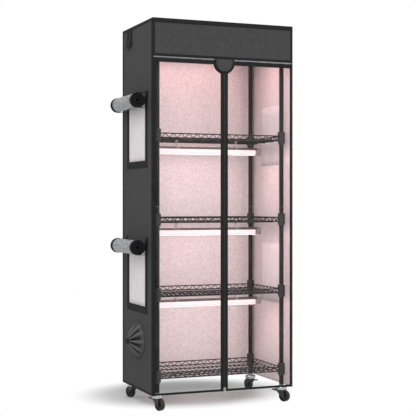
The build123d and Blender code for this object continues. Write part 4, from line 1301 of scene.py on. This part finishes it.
def make_tab():
    """Half-round tab over the top of the zip, bound with tape."""
    y = (TAB_LOW.y + TAB_HIGH.y) / 2
    top = TAB_HIGH.z
    outline, size = half_round(TAB_RADIUS, top)
    curve = outline[2:]

    def dome(u, v, edge):
        return TAB_DOME * min(1.0, edge / TAB_DOME_EDGE)

    made = make_panel(
        "door_tab_cloth", outline, facing(y - TAB_CLOTH / 2), dome, [fabric, lining], "door_tab", "door_tab",
        "cover_fabric", step=TAB_STEP, thick=TAB_CLOTH,
    )
    shape = Shape()
    points = [Vector((x, y, z)) for x, z in [(-TAB_RADIUS, top), *curve, (TAB_RADIUS, top)]]
    inwards = [X, *[Vector((-x, 0, TAB_CENTRE - z)).normalized() for x, z in curve], -X]
    shape.sweep([(p, side, -Y) for p, side in zip(points, inwards)], TAB_TAPE)
    seam_z = top - SEAM_BEAD / 2
    shape.strip(Vector((-TAB_RADIUS, y, seam_z)), Vector((TAB_RADIUS, y, seam_z)), Y, Z, bead(SEAM_BEAD))
    edge = shape.make("door_tab_tape", [tape], "door_tab", surface="binding_tape")
    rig.sheet(made, **size, held="hung", rests_on=["valance_cloth"], with_pieces=[edge])


def make_tab_backing():
    """Facing behind the tab, sewn inside the valance, that closes the gap round the notch of the leaves."""
    radius = TAB_RADIUS + BACKING_LAP
    top = VALANCE_BOTTOM + TAPE_WIDTH
    outline, size = half_round(radius, top)
    sewn = FABRIC - FACE
    hung = FILM_BACK + FILM_RIPPLE + SEAT_GAP

    def lean(u, v, edge):
        share = (VALANCE_BOTTOM - v) / (VALANCE_BOTTOM - LEAF_TOP)
        return (sewn - hung) * min(1.0, max(0.0, share))

    made = make_panel(
        "tab_backing_cloth", outline, facing(sewn), lean, [tape], surface="cover_fabric", step=BACKING_STEP,
        thick=TAPE,
    )
    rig.sheet(made, **size, held="hung", rests_on=["valance_cloth"])


def dress_nodes():
    """Materials of the rigid pieces, whose shapes come from CAD."""
    looks = {
        "post_inserts": zinc,
        "post_caps": black_plastic,
        "shelf_sleeves": black_plastic,
        "light_end_caps": grey_plastic,
        "light_clips": clear_plastic_painted_pink_light,
        "led_boards": aluminium_painted_pink_light,
        "caster_stems": zinc,
        "zip_slider": chrome,
        "zip_pull": chrome,
    }
    for corner in ("front_left", "front_right", "rear_left", "rear_right"):
        looks[f"post_{corner}"] = paint
        looks[f"caster_{corner}_fork"] = fork_plate
        looks[f"caster_{corner}_wheel"] = rubber
        looks[f"caster_{corner}_brake"] = black_plastic
    for number in range(1, 6):
        looks[f"wire_shelf_{number}"] = shelf_paint
    for number in range(1, 5):
        looks[f"light_{number}_housing"] = aluminium_painted_pink_light
        looks[f"light_{number}_diffuser"] = glow
    for name, look in looks.items():
        mesh = frame["nodes"][name].data
        mesh.materials.clear()
        mesh.materials.append(look.material)


def make_floor():
    """Pale floor with a painted shadow: grey in an oval a little behind the part's middle, and white further away
    where it is seen directly.
    """
    mesh = bpy.data.meshes.new("floor")
    corners = rectangle(-FLOOR_REACH, FLOOR_REACH, -FLOOR_REACH, FLOOR_REACH)
    mesh.from_pydata([(x, y, 0) for x, y in corners], [], [(0, 1, 2, 3)])
    floor = bpy.data.objects.new("floor", mesh)
    bpy.context.scene.collection.objects.link(floor)
    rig.stage(floor)
    look = Look("pale_floor_painted_shadow", "Object", [FLOOR_AND_PAINTED_SHADOW_GREY] * 3, 1.0)
    mesh.materials.append(look.material)
    look.tree.nodes.remove(look.shader)
    # Painted shadow: the floor stays grey within an oval centred a little behind and left of the part's middle, and
    # fades to white outside it.
    away = look.node("ShaderNodeVectorMath", look.where(PAINTED_SHADOW_SCALE, PAINTED_SHADOW_SHIFT), operation="LENGTH")
    fade = look.ranged(away.outputs["Value"], PAINTED_SHADOW_INNER, PAINTED_SHADOW_OUTER, kind="SMOOTHSTEP")
    share = look.math("MULTIPLY", seen_directly(look.tree), fade)
    matte = look.node("ShaderNodeBsdfDiffuse", Color=(FLOOR_AND_PAINTED_SHADOW_GREY, FLOOR_AND_PAINTED_SHADOW_GREY, FLOOR_AND_PAINTED_SHADOW_GREY, 1)).outputs["BSDF"]
    white = look.node("ShaderNodeEmission", Strength=1.0).outputs["Emission"]
    mix = look.node("ShaderNodeMixShader", share, matte, white).outputs["Shader"]
    look.tree.links.new(mix, look.tree.nodes["Material Output"].inputs["Surface"])
    return floor


def make_stage():
    """Floor, white surroundings and soft light."""
    floor = make_floor()
    world = bpy.data.worlds.new("studio")
    bpy.context.scene.world = world
    world.use_nodes = True
    tree = world.node_tree
    background = tree.nodes["Background"]
    background.inputs["Color"].default_value = (1, 1, 1, 1)
    level = add_node(tree, "ShaderNodeMapRange", Value=seen_directly(tree), To_Min=WORLD_LIGHT, To_Max=1.0)
    tree.links.new(level.outputs["Result"], background.inputs["Strength"])

    middle = Vector((0, 0, (HEM + TOP) / 2))
    for name, (place, power) in STUDIO_LAMPS.items():
        add_lamp(name, Vector(place), middle, STUDIO_LAMP_SIZE, power)
    unlit = bpy.data.collections.new("not_lit_by_the_bars")
    unlit.objects.link(floor)
    unlit.collection_objects[0].light_linking.link_state = "EXCLUDE"
    for number, power in enumerate(BAY_LAMP_POWERS, 1):
        low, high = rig.box(f"light_{number}_diffuser")
        place = Vector((0, (low.y + high.y) / 2, low.z - BAY_LAMP_DROP))
        for way, (aim, share) in BAY_LAMP_AIMS.items():
            lamp = add_lamp(f"bay_{number}_{way}", place, place + aim, high.x - low.x, share * power)
            lamp.data.shape = "RECTANGLE"
            lamp.data.size_y = high.y - low.y
            lamp.data.color = BAY_LAMP_COLOUR
            lamp.light_linking.receiver_collection = unlit


def seen_directly(tree):
    """1 for camera, mirror and see-through rays, 0 for the rest."""
    path = add_node(tree, "ShaderNodeLightPath")
    total = path.outputs["Is Camera Ray"]
    for ray in ("Is Glossy Ray", "Is Transmission Ray"):
        parts = (total, path.outputs[ray])
        total = add_node(tree, "ShaderNodeMath", *parts, operation="ADD", use_clamp=True).outputs["Value"]
    return total


def add_lamp(name, place, target, size, power):
    """A soft lamp that points at a target."""
    light = bpy.data.lights.new(name, "AREA")
    light.shape = "SQUARE"
    light.size = size
    light.energy = power
    lamp = bpy.data.objects.new(name, light)
    lamp.location = place
    lamp.rotation_euler = (target - place).to_track_quat("-Z", "Y").to_euler()
    bpy.context.scene.collection.objects.link(lamp)
    return lamp


def make_camera():
    """Camera fitted to the photograph's corners."""
    camera = bpy.data.cameras.new("camera")
    camera.sensor_width = CAMERA_SENSOR
    camera.lens = CAMERA_LENS
    holder = bpy.data.objects.new("camera", camera)
    holder.location = CAMERA_PLACE
    holder.rotation_euler = (CAMERA_TILT, 0, CAMERA_TURN)
    bpy.context.scene.collection.objects.link(holder)
    bpy.context.scene.camera = holder


def write_size():
    low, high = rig.bounds()
    sizes = {"cad": [list(cad_low), list(cad_high)], "visual": [list(low), list(high)]}
    with open("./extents.json", "w") as file:
        json.dump(sizes, file)


bpy.context.scene.view_settings.view_transform = "Standard"
make_camera()
make_stage()
dress_nodes()
make_walls()
make_bindings()
make_windows()
make_rolls()
make_flaps()
make_duct()
make_top_zip()
make_leaf(-1, "left")
make_leaf(1, "right")
make_tab()
make_tab_backing()
write_size()
